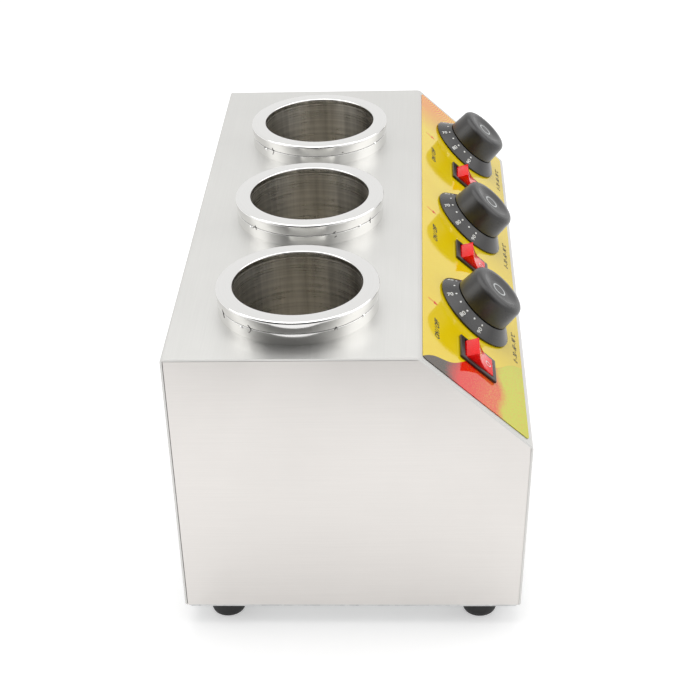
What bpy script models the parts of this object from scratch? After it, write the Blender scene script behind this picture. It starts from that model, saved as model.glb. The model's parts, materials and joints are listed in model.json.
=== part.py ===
"""Counter-top topping warmer: a bent steel box with three heated wells, three dials and three rockers.

The origin is on the surface that the warmer stands on, under the middle of its body.
X runs along the row of wells, -Y is the side with the controls, and +Z is up.
"""
import math

import bmesh
import bpy
from mathutils import Matrix, Vector

# Casing
BODY_LENGTH = 0.395
BODY_DEPTH = 0.210
BODY_HEIGHT = 0.178
FRONT_HEIGHT = 0.1178
TOP_DEPTH = 0.1453
FRONT_LEAN = 0.0045
SHEET = 0.0012
BEND_SETBACK = 0.0015
FOOT_HEIGHT = 0.014
BASE_FLANGE = 0.014
END_FLANGE = 0.012
END_RECESS = 0.0002
PAN_BEND = 0.0008

# Clearances
GAP = 0.0003
NOTCH_CLEARANCE = 0.002
CUT_OVERRUN = 0.004
WELD = 0.00001

# Wells
WELL_FIRST = 0.0622
WELL_PITCH = 0.121
WELL_BACK_OFFSET = 0.031
WELL_BORE_R = 0.0384
CUP_WALL = 0.0010
CUP_DEPTH = 0.140
CUP_CORNER_R = 0.007
RIM_R = 0.0484
RING_HEIGHT = 0.015
COLLAR_HEIGHT = 0.0074
RIM_LIP = 0.003
RIM_ROUND = 0.0014
WELL_HOLE_CLEARANCE = 0.001

# Heater bands
BAND_WALL = 0.0025
BAND_HEIGHT = 0.050
BAND_FLOOR_OFFSET = 0.014
BAND_SPLIT = 0.003
LUG_THICKNESS = 0.003
LUG_REACH = 0.011
LUG_HEIGHT = 0.030
CLAMP_SCREW_R = 0.0020
CLAMP_HEAD_R = 0.0035
CLAMP_HEAD_LENGTH = 0.003
BAND_TERMINAL = (0.014, 0.012, 0.020)
BAND_TERMINAL_ANGLE = math.radians(-45)

# Printed overlay on the slope
OVERLAY_THICKNESS = 0.0003
ADHESIVE = 0.0001
OVERLAY_SIDE_MARGIN = 0.004
OVERLAY_TOP_MARGIN = 0.0022
OVERLAY_BOTTOM_MARGIN = 0.0036
OVERLAY_CORNER_R = 0.002

# Controls, placed from the left end along the slope and from its top bend down the slope
CONTROL_PITCH = 0.1232
CONTROL_DOWN = 0.0452
DIAL_FIRST = 0.1034
SWITCH_FIRST = 0.0480

# Dials
SKIRT_R = 0.0277
SKIRT_TOP_R = 0.0199
SKIRT_BASE_H = 0.0011
SKIRT_EDGE = 0.0006
SKIRT_TOP_H = 0.0080
SKIRT_WALL = 0.0014
CAP_BASE_R = 0.0197
CAP_SHOULDER_R = 0.0188
CAP_GROOVE = 0.0006
CAP_TOP_H = 0.0243
CAP_ROUND = 0.0038
CAP_WALL = 0.0022
DISH_R = 0.0105
DISH_DEPTH = 0.0013
HUB_R = 0.0065
HUB_BASE_H = 0.0046
SHAFT_R = 0.0030
SHAFT_FLAT_SHARE = 0.55
SHAFT_TOP_H = 0.0175
SHAFT_DEPTH = 0.0097

# Thermostats behind the slope
THERMOSTAT_SIZE = (0.038, 0.032, 0.017)
THERMOSTAT_EDGE = 0.0015
BUSH_R = 0.0048
BUSH_TOP_H = 0.0040
CERAMIC_SIZE = (0.024, 0.018, 0.009)
BLADE_SIZE = (0.0063, 0.0008, 0.008)
BLADE_SPACING = 0.008
NUT_R = 0.0078
NUT_HEIGHT = 0.0025

# Rocker switches
BEZEL_WIDTH = 0.0240
BEZEL_LENGTH = 0.0280
BEZEL_HEIGHT = 0.0016
BEZEL_EDGE = 0.0005
HOUSING_WALL = 0.0013
HOUSING_DEPTH = 0.0200
CAVITY_DEPTH = 0.0125
SWITCH_BLADE_COUNT = 3
ROCKER_WIDTH = 0.0180
ROCKER_TIP_Y = 0.00874
ROCKER_TIP_Z = 0.00736
ROCKER_VALLEY_Z = 0.0053
ROCKER_HALF_LENGTH = 0.0104
ROCKER_SHOULDER_DROP = 0.0006
ROCKER_BASE_HALF = 0.0082
ROCKER_BASE_DROP = 0.0050
ROCKER_TILT = math.radians(20)
ROCKER_END_CLEARANCE = 0.0008
PIVOT_DROP = 0.0010
TRUNNION_R = 0.0015
TRUNNION_REACH = 0.0010

# Feet and fasteners
FOOT_EDGE_INSET = 0.0244
FOOT_END_INSET = 0.0175
FOOT_TOP_R = 0.0112
FOOT_WAIST_R = 0.0111
FOOT_LOW_R = 0.0108
FOOT_CURVE_R = 0.0101
FOOT_TREAD_R = 0.0088
FOOT_LOW_Z = 0.0032
FOOT_CURVE_Z = 0.0011
FOOT_RECESS_R = 0.0046
FOOT_RECESS_DEPTH = 0.0060
FOOT_SCREW_R = 0.0020
FOOT_SCREW_HEAD_R = 0.0039
FOOT_SCREW_HEAD = 0.0026
FOOT_SCREW_TAIL = 0.0060
CLINCH_NUT_R = 0.0045
CLINCH_NUT_HEIGHT = 0.0030
BASE_SCREW_END_INSET = 0.060
BASE_SCREW_R = 0.0016
BASE_SCREW_HEAD_R = 0.0032
BASE_SCREW_HEAD = 0.0020
BASE_SCREW_TAIL = 0.0050
SCREW_HEAD_EDGE = 0.0006

# Base plate
BASE_MARGIN = 0.0008
BASE_CORNER_R = 0.0030
VENT_LENGTH = 0.050
VENT_WIDTH = 0.0036
VENT_PITCH = 0.014
VENTS_PER_WELL = 4

# Sensors and leads
BULB_R = 0.0030
BULB_LENGTH = 0.048
BULB_ANGLE = math.radians(-62)
BULB_ABOVE_BAND = 0.004
CAPILLARY_R = 0.0008
CAPILLARY_HANDLE_UP = 0.008
CAPILLARY_HANDLE_PORT = 0.030
LEAD_R = 0.0013
LEAD_BAND_HANDLE = 0.015
LEAD_PORT_HANDLE = 0.020

# Cord entry and supply
SUPPLY_END_INSET = 0.0295
GLAND_ABOVE_BASE = 0.033
GLAND_BORE_R = 0.0040
GLAND_NECK_R = 0.0070
GLAND_FLANGE_R = 0.0105
GLAND_FLANGE = 0.0030
GLAND_TAIL = 0.0090
GLAND_ROUND = 0.0010
GLAND_NUT_R = 0.0105
GLAND_NUT_HEIGHT = 0.0040
BLOCK_SIZE = (0.022, 0.048, 0.015)
BLOCK_POLES = 3
BLOCK_WELL_R = 0.0025
BLOCK_WELL_DEPTH = 0.007
BLOCK_BACK_INSET = 0.060
BLOCK_EDGE = 0.0010
STUD_R = 0.0020
STUD_HEIGHT = 0.0120
STUD_NUT_R = 0.0040
STUD_NUT_HEIGHT = 0.0030
STUD_BACK_INSET = 0.120

# Facets
WELL_STEPS = 32
DIAL_STEPS = 28
FOOT_STEPS = 16
SMALL_STEPS = 12
HEX_STEPS = 6
CORNER_STEPS = 2
TUBE_POINTS = 8
VALLEY_STEPS = 6
SHARP_ANGLE = math.radians(30)

# Places worked out from the sizes above; the casing holds as many wells as there is room for
WELL_COUNT = math.floor(BODY_LENGTH / CONTROL_PITCH)
LEFT_X = -BODY_LENGTH / 2
BACK_Y = BODY_DEPTH / 2
FRONT_Y = -BODY_DEPTH / 2
TOP_FRONT_Y = BACK_Y - TOP_DEPTH
FRONT_FOOT_Y = FRONT_Y + FRONT_LEAN
UNDER_Z = FOOT_HEIGHT
SHELL_Z = UNDER_Z + SHEET + GAP
TOP_Z = UNDER_Z + BODY_HEIGHT
SLOPE_FOOT_Z = UNDER_Z + FRONT_HEIGHT
SLOPE_RUN = TOP_FRONT_Y - FRONT_Y
SLOPE_RISE = TOP_Z - SLOPE_FOOT_Z
SLOPE_LENGTH = math.hypot(SLOPE_RUN, SLOPE_RISE)
SLOPE_ANGLE = math.atan2(SLOPE_RISE, SLOPE_RUN)
CUP_R = WELL_BORE_R + CUP_WALL
RING_BORE_R = CUP_R + GAP
RIM_TOP_Z = TOP_Z + RING_HEIGHT
CUP_MOUTH_Z = RIM_TOP_Z - RIM_LIP - GAP
CUP_FLOOR_Z = RIM_TOP_Z - CUP_DEPTH
BAND_LOW_Z = CUP_FLOOR_Z + BAND_FLOOR_OFFSET
BAND_R = RING_BORE_R + BAND_WALL
OVERLAY_TOP_H = ADHESIVE + OVERLAY_THICKNESS
BEZEL_BASE_H = OVERLAY_TOP_H + GAP
BEZEL_TOP_H = BEZEL_BASE_H + BEZEL_HEIGHT
CAVITY_WIDTH = ROCKER_WIDTH + 2 * GAP
CAVITY_LENGTH = 2 * (ROCKER_HALF_LENGTH + ROCKER_END_CLEARANCE)
HOUSING_WIDTH = CAVITY_WIDTH + 2 * HOUSING_WALL
HOUSING_LENGTH = CAVITY_LENGTH + 2 * HOUSING_WALL
BUSH_HOLE_R = BUSH_R + GAP
SUPPLY_X = -LEFT_X - SUPPLY_END_INSET

CASING_OUTLINE = [
    (BACK_Y, SHELL_Z),
    (BACK_Y, TOP_Z),
    (TOP_FRONT_Y, TOP_Z),
    (FRONT_Y, SLOPE_FOOT_Z),
    (FRONT_FOOT_Y, SHELL_Z),
]

FINISHES = {
    "brushed steel": ((0.80, 0.79, 0.77), 0.34, 1.0),
    "polished steel": ((0.86, 0.86, 0.86), 0.10, 1.0),
    "zinc": ((0.62, 0.62, 0.60), 0.45, 1.0),
    "yellow print": ((0.78, 0.62, 0.02), 0.25, 0.0),
    "dial plastic": ((0.055, 0.056, 0.060), 0.42, 0.0),
    "black plastic": ((0.030, 0.026, 0.026), 0.35, 0.0),
    "red lens": ((0.75, 0.01, 0.02), 0.18, 0.0),
    "rubber": ((0.018, 0.018, 0.018), 0.75, 0.0),
    "ceramic": ((0.72, 0.69, 0.62), 0.55, 0.0),
    "copper": ((0.70, 0.34, 0.20), 0.35, 1.0),
    "brass": ((0.72, 0.55, 0.22), 0.35, 1.0),
    "red insulation": ((0.55, 0.03, 0.02), 0.50, 0.0),
}


def clear_scene():
    for item in list(bpy.data.objects):
        bpy.data.objects.remove(item, do_unlink=True)


def new_collection(name):
    collection = bpy.data.collections.new(name)
    bpy.context.scene.collection.children.link(collection)
    return collection


def finish_material(piece_name, finish):
    colour, roughness, metallic = FINISHES[finish]
    material = bpy.data.materials.new(piece_name + " " + finish)
    material.use_nodes = True
    shader = material.node_tree.nodes["Principled BSDF"]
    shader.inputs["Base Color"].default_value = (*colour, 1)
    shader.inputs["Roughness"].default_value = roughness
    shader.inputs["Metallic"].default_value = metallic
    return material


def put(name, mesh, finish, parent=None, location=(0, 0, 0), rotation=(0, 0, 0)):
    piece = bpy.data.objects.new(name, mesh)
    PARTS.objects.link(piece)
    piece.parent = parent
    piece.location = location
    piece.rotation_euler = rotation
    mesh.name = name
    mesh.materials.clear()
    mesh.materials.append(finish_material(name, finish))
    return piece


def put_tool(name, mesh, parent=None, location=(0, 0, 0), rotation=(0, 0, 0)):
    tool = bpy.data.objects.new(name, mesh)
    CUTTERS.objects.link(tool)
    tool.parent = parent
    tool.location = location
    tool.rotation_euler = rotation
    tool.hide_render = True
    tool.display_type = "WIRE"
    return tool


def put_frame(name, parent=None, location=(0, 0, 0), rotation=(0, 0, 0)):
    frame = bpy.data.objects.new(name, None)
    PARTS.objects.link(frame)
    frame.parent = parent
    frame.location = location
    frame.rotation_euler = rotation
    return frame


def combine(piece, tool, operation):
    boolean = piece.modifiers.new(operation.lower() + " " + tool.name, "BOOLEAN")
    boolean.operation = operation
    boolean.solver = "EXACT"
    boolean.object = tool


def cut(piece, tool):
    combine(piece, tool, "DIFFERENCE")


def weld_on(piece, tool):
    combine(piece, tool, "UNION")


def round_edges(piece, width, segments=2, angle=SHARP_ANGLE):
    bevel = piece.modifiers.new("rounded edges", "BEVEL")
    bevel.width = width
    bevel.segments = segments
    bevel.limit_method = "ANGLE"
    bevel.angle_limit = angle


def thicken(piece, thickness):
    solidify = piece.modifiers.new("sheet", "SOLIDIFY")
    solidify.thickness = thickness
    solidify.offset = -1
    solidify.use_even_offset = True


def box_mesh(size):
    bm = bmesh.new()
    bmesh.ops.create_cube(bm, size=1)
    bmesh.ops.scale(bm, vec=size, verts=bm.verts)
    mesh = bpy.data.meshes.new("box")
    bm.to_mesh(mesh)
    bm.free()
    return mesh


def cylinder_mesh(radius, height, steps, turn=None):
    bm = bmesh.new()
    bmesh.ops.create_cone(
        bm, cap_ends=True, segments=steps, radius1=radius, radius2=radius, depth=height
    )
    if turn is not None:
        bmesh.ops.transform(bm, matrix=turn, verts=bm.verts)
    mesh = bpy.data.meshes.new("cylinder")
    bm.to_mesh(mesh)
    bm.free()
    return mesh


def profile_mesh(points, closed):
    bm = bmesh.new()
    corners = [bm.verts.new((radius, 0, height)) for radius, height in points]
    for start, end in zip(corners, corners[1:]):
        bm.edges.new((start, end))
    if closed:
        bm.edges.new((corners[-1], corners[0]))
    mesh = bpy.data.meshes.new("profile")
    bm.to_mesh(mesh)
    bm.free()
    return mesh


def turn_profile(piece, steps):
    screw = piece.modifiers.new("turned", "SCREW")
    screw.axis = "Z"
    screw.angle = 2 * math.pi
    screw.steps = steps
    screw.render_steps = steps
    screw.use_merge_vertices = True
    screw.merge_threshold = WELD
    screw.use_smooth_shade = True


def put_turned(name, points, closed, steps, finish, parent=None, location=(0, 0, 0), rotation=(0, 0, 0)):
    piece = put(name, profile_mesh(points, closed), finish, parent, location, rotation)
    turn_profile(piece, steps)
    return piece


def arc(centre, radius, start, end, steps):
    angles = [start + (end - start) * step / steps for step in range(steps + 1)]
    return [(centre[0] + radius * math.cos(a), centre[1] + radius * math.sin(a)) for a in angles]


def circle_loop(centre, radius, steps):
    return arc(centre, radius, 0, 2 * math.pi, steps)[:-1]


def rounded_rectangle(low, high, radius, steps):
    loop = []
    corners = [(high[0], high[1]), (low[0], high[1]), (low[0], low[1]), (high[0], low[1])]
    inward = [(-1, -1), (1, -1), (1, 1), (-1, 1)]
    for turn, (corner, side) in enumerate(zip(corners, inward)):
        centre = (corner[0] + side[0] * radius, corner[1] + side[1] * radius)
        start = turn * math.pi / 2
        loop += arc(centre, radius, start, start + math.pi / 2, steps)
    return loop


def rectangle_around(centre, width, height):
    x, y = centre
    half_width, half_height = width / 2, height / 2
    return [
        (x - half_width, y - half_height),
        (x + half_width, y - half_height),
        (x + half_width, y + half_height),
        (x - half_width, y + half_height),
    ]


def vent_loop(centre):
    radius = VENT_WIDTH / 2
    reach = VENT_LENGTH / 2 - radius
    quarter = math.pi / 2
    right = arc((centre[0] + reach, centre[1]), radius, -quarter, quarter, CORNER_STEPS)
    left = arc((centre[0] - reach, centre[1]), radius, quarter, 3 * quarter, CORNER_STEPS)
    return right + left


def outline_mesh(loops, thickness):
    """A flat outline with its holes, as thick as asked, half of it on each side of z = 0."""
    curve = bpy.data.curves.new("outline", "CURVE")
    curve.dimensions = "2D"
    curve.fill_mode = "BOTH"
    curve.extrude = thickness / 2
    for loop in loops:
        spline = curve.splines.new("POLY")
        spline.points.add(len(loop) - 1)
        spline.use_cyclic_u = True
        for point, (x, y) in zip(spline.points, loop):
            point.co = (x, y, 0, 1)
    flat = bpy.data.objects.new("outline", curve)
    bpy.context.scene.collection.objects.link(flat)
    bpy.context.view_layer.update()
    graph = bpy.context.evaluated_depsgraph_get()
    mesh = bpy.data.meshes.new_from_object(flat.evaluated_get(graph), depsgraph=graph)
    bpy.data.objects.remove(flat, do_unlink=True)
    bm = bmesh.new()
    bm.from_mesh(mesh)
    bmesh.ops.remove_doubles(bm, verts=bm.verts, dist=WELD)
    bm.to_mesh(mesh)
    bm.free()
    return mesh


def put_tube(name, points, radius, finish, radius_shares=None):
    curve = bpy.data.curves.new(name, "CURVE")
    curve.dimensions = "3D"
    curve.bevel_depth = radius
    curve.bevel_resolution = 2
    curve.use_fill_caps = True
    spline = curve.splines.new("POLY")
    spline.points.add(len(points) - 1)
    for index, place in enumerate(points):
        spline.points[index].co = (*place, 1)
        if radius_shares:
            spline.points[index].radius = radius_shares[index]
    tube = bpy.data.objects.new(name, curve)
    PARTS.objects.link(tube)
    curve.materials.append(finish_material(name, finish))
    return tube


def bezier_points(start, start_handle, end_handle, end, count):
    points = []
    for step in range(count):
        t = step / (count - 1)
        s = 1 - t
        point = start * s**3 + start_handle * (3 * s * s * t) + end_handle * (3 * s * t * t) + end * t**3
        points.append(point)
    return points


def inset_corner(before, corner, after, inset_before, inset_after):
    """The corner of a polygon once its two sides have moved inwards; the sides run anticlockwise."""
    first = (Vector(corner) - Vector(before)).normalized()
    second = (Vector(after) - Vector(corner)).normalized()
    inward_first = Vector((-first.y, first.x))
    inward_second = Vector((-second.y, second.x))
    on_first = Vector(corner) + inward_first * inset_before
    on_second = Vector(corner) + inward_second * inset_after
    offset = on_second - on_first
    along = (offset.x * second.y - offset.y * second.x) / (first.x * second.y - first.y * second.x)
    return on_first + first * along


def end_panel_outline(wall):
    """The casing's outline, drawn in by sheet, gap and wall, and at the open bottom by the wall alone."""
    drawn_in = SHEET + GAP + wall
    insets = [drawn_in, drawn_in, drawn_in, drawn_in, wall]
    corners = []
    count = len(CASING_OUTLINE)
    for index, corner in enumerate(CASING_OUTLINE):
        before = CASING_OUTLINE[index - 1]
        after = CASING_OUTLINE[(index + 1) % count]
        corners.append(inset_corner(before, corner, after, insets[index - 1], insets[index]))
    return corners


def well_place(index):
    return Vector((LEFT_X + WELL_FIRST + index * WELL_PITCH, WELL_BACK_OFFSET, 0))


def on_slope(along, down, height=0):
    """A place in the slope's own frame: along it from the left end, down from its top bend, and out."""
    return Vector((along, -down, height))


def dial_place(index, height=0):
    return on_slope(DIAL_FIRST + index * CONTROL_PITCH, CONTROL_DOWN, height)


def switch_place(index, height=0):
    return on_slope(SWITCH_FIRST + index * CONTROL_PITCH, CONTROL_DOWN, height)


def slope_matrix():
    return Matrix.Translation((LEFT_X, TOP_FRONT_Y, TOP_Z)) @ Matrix.Rotation(SLOPE_ANGLE, 4, "X")


def foot_places():
    xs = [LEFT_X + FOOT_END_INSET, -LEFT_X - FOOT_END_INSET]
    ys = [BACK_Y - FOOT_EDGE_INSET, FRONT_FOOT_Y + FOOT_EDGE_INSET]
    return [(x, y) for x in xs for y in ys]


def base_screw_places():
    xs = [LEFT_X + BASE_SCREW_END_INSET, -LEFT_X - BASE_SCREW_END_INSET]
    ys = [BACK_Y - BASE_FLANGE / 2, FRONT_FOOT_Y + BASE_FLANGE / 2]
    return [(x, y) for x in xs for y in ys]


def vent_places():
    places = []
    for well in range(WELL_COUNT):
        centre = well_place(well)
        for row in range(VENTS_PER_WELL):
            places.append((centre.x, (row - (VENTS_PER_WELL - 1) / 2) * VENT_PITCH))
    return places


def make_casing(slope):
    """Back, top, slope and front as one bent sheet, with turned-in flanges along the bottom."""
    path = [(BACK_Y - BASE_FLANGE, SHELL_Z)] + CASING_OUTLINE + [(FRONT_FOOT_Y + BASE_FLANGE, SHELL_Z)]
    bm = bmesh.new()
    corners = [bm.verts.new((LEFT_X, y, z)) for y, z in path]
    folds = [bm.edges.new(pair) for pair in zip(corners, corners[1:])]
    swept = bmesh.ops.extrude_edge_only(bm, edges=folds)
    far_end = [item for item in swept["geom"] if isinstance(item, bmesh.types.BMVert)]
    bmesh.ops.translate(bm, verts=far_end, vec=(BODY_LENGTH, 0, 0))
    bm.faces.ensure_lookup_table()
    bm.normal_update()
    highest = max(bm.faces, key=lambda face: face.calc_center_median().z)
    if highest.normal.z < 0:
        bmesh.ops.reverse_faces(bm, faces=bm.faces)
    mesh = bpy.data.meshes.new("casing")
    bm.to_mesh(mesh)
    bm.free()
    casing = put("body_shell", mesh, "brushed steel")
    round_edges(casing, BEND_SETBACK, CORNER_STEPS)
    thicken(casing, SHEET)

    for index in range(WELL_COUNT):
        hole_height = SHEET + 2 * CUT_OVERRUN
        hole = cylinder_mesh(CUP_R + WELL_HOLE_CLEARANCE, hole_height, WELL_STEPS)
        cut(casing, put_tool(f"well_hole_{index}", hole, location=well_place(index) + Vector((0, 0, TOP_Z))))
        bush_hole = cylinder_mesh(BUSH_HOLE_R, hole_height, SMALL_STEPS)
        cut(casing, put_tool(f"bush_hole_{index}", bush_hole, slope, dial_place(index)))
        opening = box_mesh((HOUSING_WIDTH + 2 * GAP, HOUSING_LENGTH + 2 * GAP, hole_height))
        cut(casing, put_tool(f"switch_opening_{index}", opening, slope, switch_place(index)))

    notch_depth = END_FLANGE + NOTCH_CLEARANCE
    notch_height = SHEET + 2 * CUT_OVERRUN
    notch_start = SHEET + GAP / 2
    for side_name, side in (("left", -1), ("right", 1)):
        for wall_name, wall_y, inward in (("back", BACK_Y, -1), ("front", FRONT_FOOT_Y, 1)):
            notch = box_mesh((2 * notch_depth, 2 * BASE_FLANGE, notch_height))
            notch_y = wall_y + inward * (notch_start + BASE_FLANGE)
            place = (-side * LEFT_X, notch_y, SHELL_Z)
            cut(casing, put_tool(f"{side_name}_{wall_name}_notch", notch, location=place))
    for index, (x, y) in enumerate(base_screw_places()):
        hole = cylinder_mesh(BASE_SCREW_R + GAP, notch_height, SMALL_STEPS)
        cut(casing, put_tool(f"flange_hole_{index}", hole, location=(x, y, SHELL_Z)))
    gland_turn = Matrix.Rotation(math.pi / 2, 4, "X")
    gland_hole = cylinder_mesh(GLAND_NECK_R + GAP, notch_height, SMALL_STEPS, gland_turn)
    cut(casing, put_tool("gland_hole", gland_hole, location=(SUPPLY_X, BACK_Y, UNDER_Z + GLAND_ABOVE_BASE)))


def prism_mesh(outline, near_x, far_x):
    """A solid with the same outline at both ends; its near face's edges and its corners can be bevelled."""
    bm = bmesh.new()
    bevelled = bm.edges.layers.float.new("bevel_weight_edge")
    near = [bm.verts.new((near_x, corner.x, corner.y)) for corner in outline]
    far = [bm.verts.new((far_x, corner.x, corner.y)) for corner in outline]
    bm.faces.new(near)
    bm.faces.new(far)
    for index in range(len(outline)):
        bm.faces.new((near[index], near[index - 1], far[index - 1], far[index]))
    for edge in bm.edges:
        if edge.verts[0] in near or edge.verts[1] in near:
            edge[bevelled] = 1
    bmesh.ops.recalc_face_normals(bm, faces=bm.faces)
    mesh = bpy.data.meshes.new("prism")
    bm.to_mesh(mesh)
    bm.free()
    return mesh


def make_end_panel(name, side):
    """A shallow pan that closes one end, its flanges lying inside the casing."""
    face_x = side * (-LEFT_X - END_RECESS)
    flange_x = face_x - side * END_FLANGE
    pan = put(name, prism_mesh(end_panel_outline(0), face_x, flange_x), "brushed steel")
    round_edges(pan, PAN_BEND)
    pan.modifiers["rounded edges"].limit_method = "WEIGHT"
    hollow = prism_mesh(end_panel_outline(SHEET), face_x - side * SHEET, flange_x - side * CUT_OVERRUN)
    cut(pan, put_tool(name + "_hollow", hollow))


def make_base_plate():
    low = (LEFT_X + BASE_MARGIN, FRONT_FOOT_Y + BASE_MARGIN)
    high = (-LEFT_X - BASE_MARGIN, BACK_Y - BASE_MARGIN)
    middle = (0, 0, UNDER_Z + SHEET / 2)
    outline = rounded_rectangle(low, high, BASE_CORNER_R, CORNER_STEPS)
    plate = put("base_plate", outline_mesh([outline], SHEET), "zinc", location=middle)
    openings = [vent_loop(place) for place in vent_places()]
    openings += [circle_loop(place, BASE_SCREW_R + GAP, SMALL_STEPS) for place in base_screw_places()]
    punch = outline_mesh(openings, SHEET + 2 * CUT_OVERRUN)
    cut(plate, put_tool("base_openings", punch, location=middle))
    for index, (x, y) in enumerate(foot_places()):
        nut_height = CLINCH_NUT_HEIGHT + SHEET / 2
        nut_z = UNDER_Z + SHEET / 2 + nut_height / 2
        nut = cylinder_mesh(CLINCH_NUT_R, nut_height, SMALL_STEPS)
        weld_on(plate, put_tool(f"clinch_nut_{index}", nut, location=(x, y, nut_z)))
        hole = cylinder_mesh(FOOT_SCREW_R + GAP, 2 * nut_height + CUT_OVERRUN, SMALL_STEPS)
        cut(plate, put_tool(f"foot_screw_hole_{index}", hole, location=(x, y, nut_z)))


def make_overlay(slope):
    low = (OVERLAY_SIDE_MARGIN, -SLOPE_LENGTH + OVERLAY_BOTTOM_MARGIN)
    high = (BODY_LENGTH - OVERLAY_SIDE_MARGIN, -OVERLAY_TOP_MARGIN)
    loops = [rounded_rectangle(low, high, OVERLAY_CORNER_R, CORNER_STEPS)]
    for index in range(WELL_COUNT):
        dial = dial_place(index)
        switch = switch_place(index)
        loops.append(circle_loop((dial.x, dial.y), BUSH_HOLE_R, SMALL_STEPS))
        opening = rectangle_around((switch.x, switch.y), HOUSING_WIDTH + 2 * GAP, HOUSING_LENGTH + 2 * GAP)
        loops.append(opening)
    height = ADHESIVE + OVERLAY_THICKNESS / 2
    put("panel_overlay", outline_mesh(loops, OVERLAY_THICKNESS), "yellow print", slope, (0, 0, height))


def make_well(index):
    centre = well_place(index)
    number = index + 1
    quarter = math.pi / 2

    collar_top = TOP_Z + COLLAR_HEIGHT
    collar_base = TOP_Z + GAP
    collar = [
        (RIM_R, collar_top),
        (RIM_R, collar_base),
        (RING_BORE_R, collar_base),
        (RING_BORE_R, collar_top),
    ]
    put_turned(f"well_collar_{number}", collar, True, WELL_STEPS, "polished steel", location=centre)

    rim_base = collar_top + GAP
    lip_base = RIM_TOP_Z - RIM_LIP
    outer = arc((RIM_R - RIM_ROUND, RIM_TOP_Z - RIM_ROUND), RIM_ROUND, quarter, 0, CORNER_STEPS)
    inner = arc((WELL_BORE_R + RIM_ROUND, RIM_TOP_Z - RIM_ROUND), RIM_ROUND, math.pi, quarter, 1)
    rim = outer + [
        (RIM_R, rim_base),
        (RING_BORE_R, rim_base),
        (RING_BORE_R, lip_base),
        (WELL_BORE_R, lip_base),
    ] + inner
    put_turned(f"well_rim_{number}", rim, True, WELL_STEPS, "polished steel", location=centre)

    floor_centre = (WELL_BORE_R - CUP_CORNER_R, CUP_FLOOR_Z + CUP_CORNER_R)
    inside = arc(floor_centre, CUP_CORNER_R, -quarter, 0, CORNER_STEPS)
    outside = arc(floor_centre, CUP_CORNER_R + CUP_WALL, 0, -quarter, CORNER_STEPS)
    cup = [(0, CUP_FLOOR_Z)] + inside + [(WELL_BORE_R, CUP_MOUTH_Z), (CUP_R, CUP_MOUTH_Z)]
    cup += outside + [(0, CUP_FLOOR_Z - CUP_WALL)]
    put_turned(f"well_cup_{number}", cup, False, WELL_STEPS, "brushed steel", location=centre)


def make_heater_band(index):
    """A split sleeve round the cup, drawn tight by a screw through two lugs on the control side."""
    centre = well_place(index)
    number = index + 1
    middle_z = BAND_LOW_Z + BAND_HEIGHT / 2
    sleeve = [
        (BAND_R, BAND_LOW_Z + BAND_HEIGHT),
        (BAND_R, BAND_LOW_Z),
        (RING_BORE_R, BAND_LOW_Z),
        (RING_BORE_R, BAND_LOW_Z + BAND_HEIGHT),
    ]
    band = put_turned(f"heater_band_{number}", sleeve, True, WELL_STEPS, "zinc", location=centre)
    lug_length = BAND_WALL + LUG_REACH
    lug_y = -RING_BORE_R - lug_length / 2 - GAP
    lug_x = (BAND_SPLIT + LUG_THICKNESS) / 2
    for side_name, side in (("left", -1), ("right", 1)):
        lug = box_mesh((LUG_THICKNESS, lug_length, LUG_HEIGHT))
        place = centre + Vector((side * lug_x, lug_y, middle_z))
        weld_on(band, put_tool(f"{side_name}_lug_{number}", lug, location=place))
    split = box_mesh((BAND_SPLIT, 2 * lug_length, BAND_HEIGHT + 2 * CUT_OVERRUN))
    split_place = centre + Vector((0, -RING_BORE_R - lug_length / 2, middle_z))
    cut(band, put_tool(f"band_split_{number}", split, location=split_place))
    sideways = Matrix.Rotation(math.pi / 2, 4, "Y")
    screw_y = -BAND_R - LUG_REACH / 2
    screw_length = BAND_SPLIT + 2 * LUG_THICKNESS + CLAMP_HEAD_LENGTH
    screw = cylinder_mesh(CLAMP_SCREW_R, screw_length, SMALL_STEPS, sideways)
    screw_place = centre + Vector((CLAMP_HEAD_LENGTH / 2, screw_y, middle_z))
    weld_on(band, put_tool(f"clamp_screw_{number}", screw, location=screw_place))
    head = cylinder_mesh(CLAMP_HEAD_R, CLAMP_HEAD_LENGTH, HEX_STEPS, sideways)
    head_x = BAND_SPLIT / 2 + LUG_THICKNESS + CLAMP_HEAD_LENGTH / 2 - GAP
    weld_on(band, put_tool(f"clamp_head_{number}", head, location=centre + Vector((head_x, screw_y, middle_z))))
    outward = Vector((math.cos(BAND_TERMINAL_ANGLE), math.sin(BAND_TERMINAL_ANGLE), 0))
    terminal = box_mesh(BAND_TERMINAL)
    terminal_place = centre + outward * (BAND_R + BAND_TERMINAL[0] / 2 - BAND_WALL / 2)
    terminal_place.z = middle_z
    turn = (0, 0, BAND_TERMINAL_ANGLE)
    weld_on(band, put_tool(f"band_terminal_{number}", terminal, location=terminal_place, rotation=turn))


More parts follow.
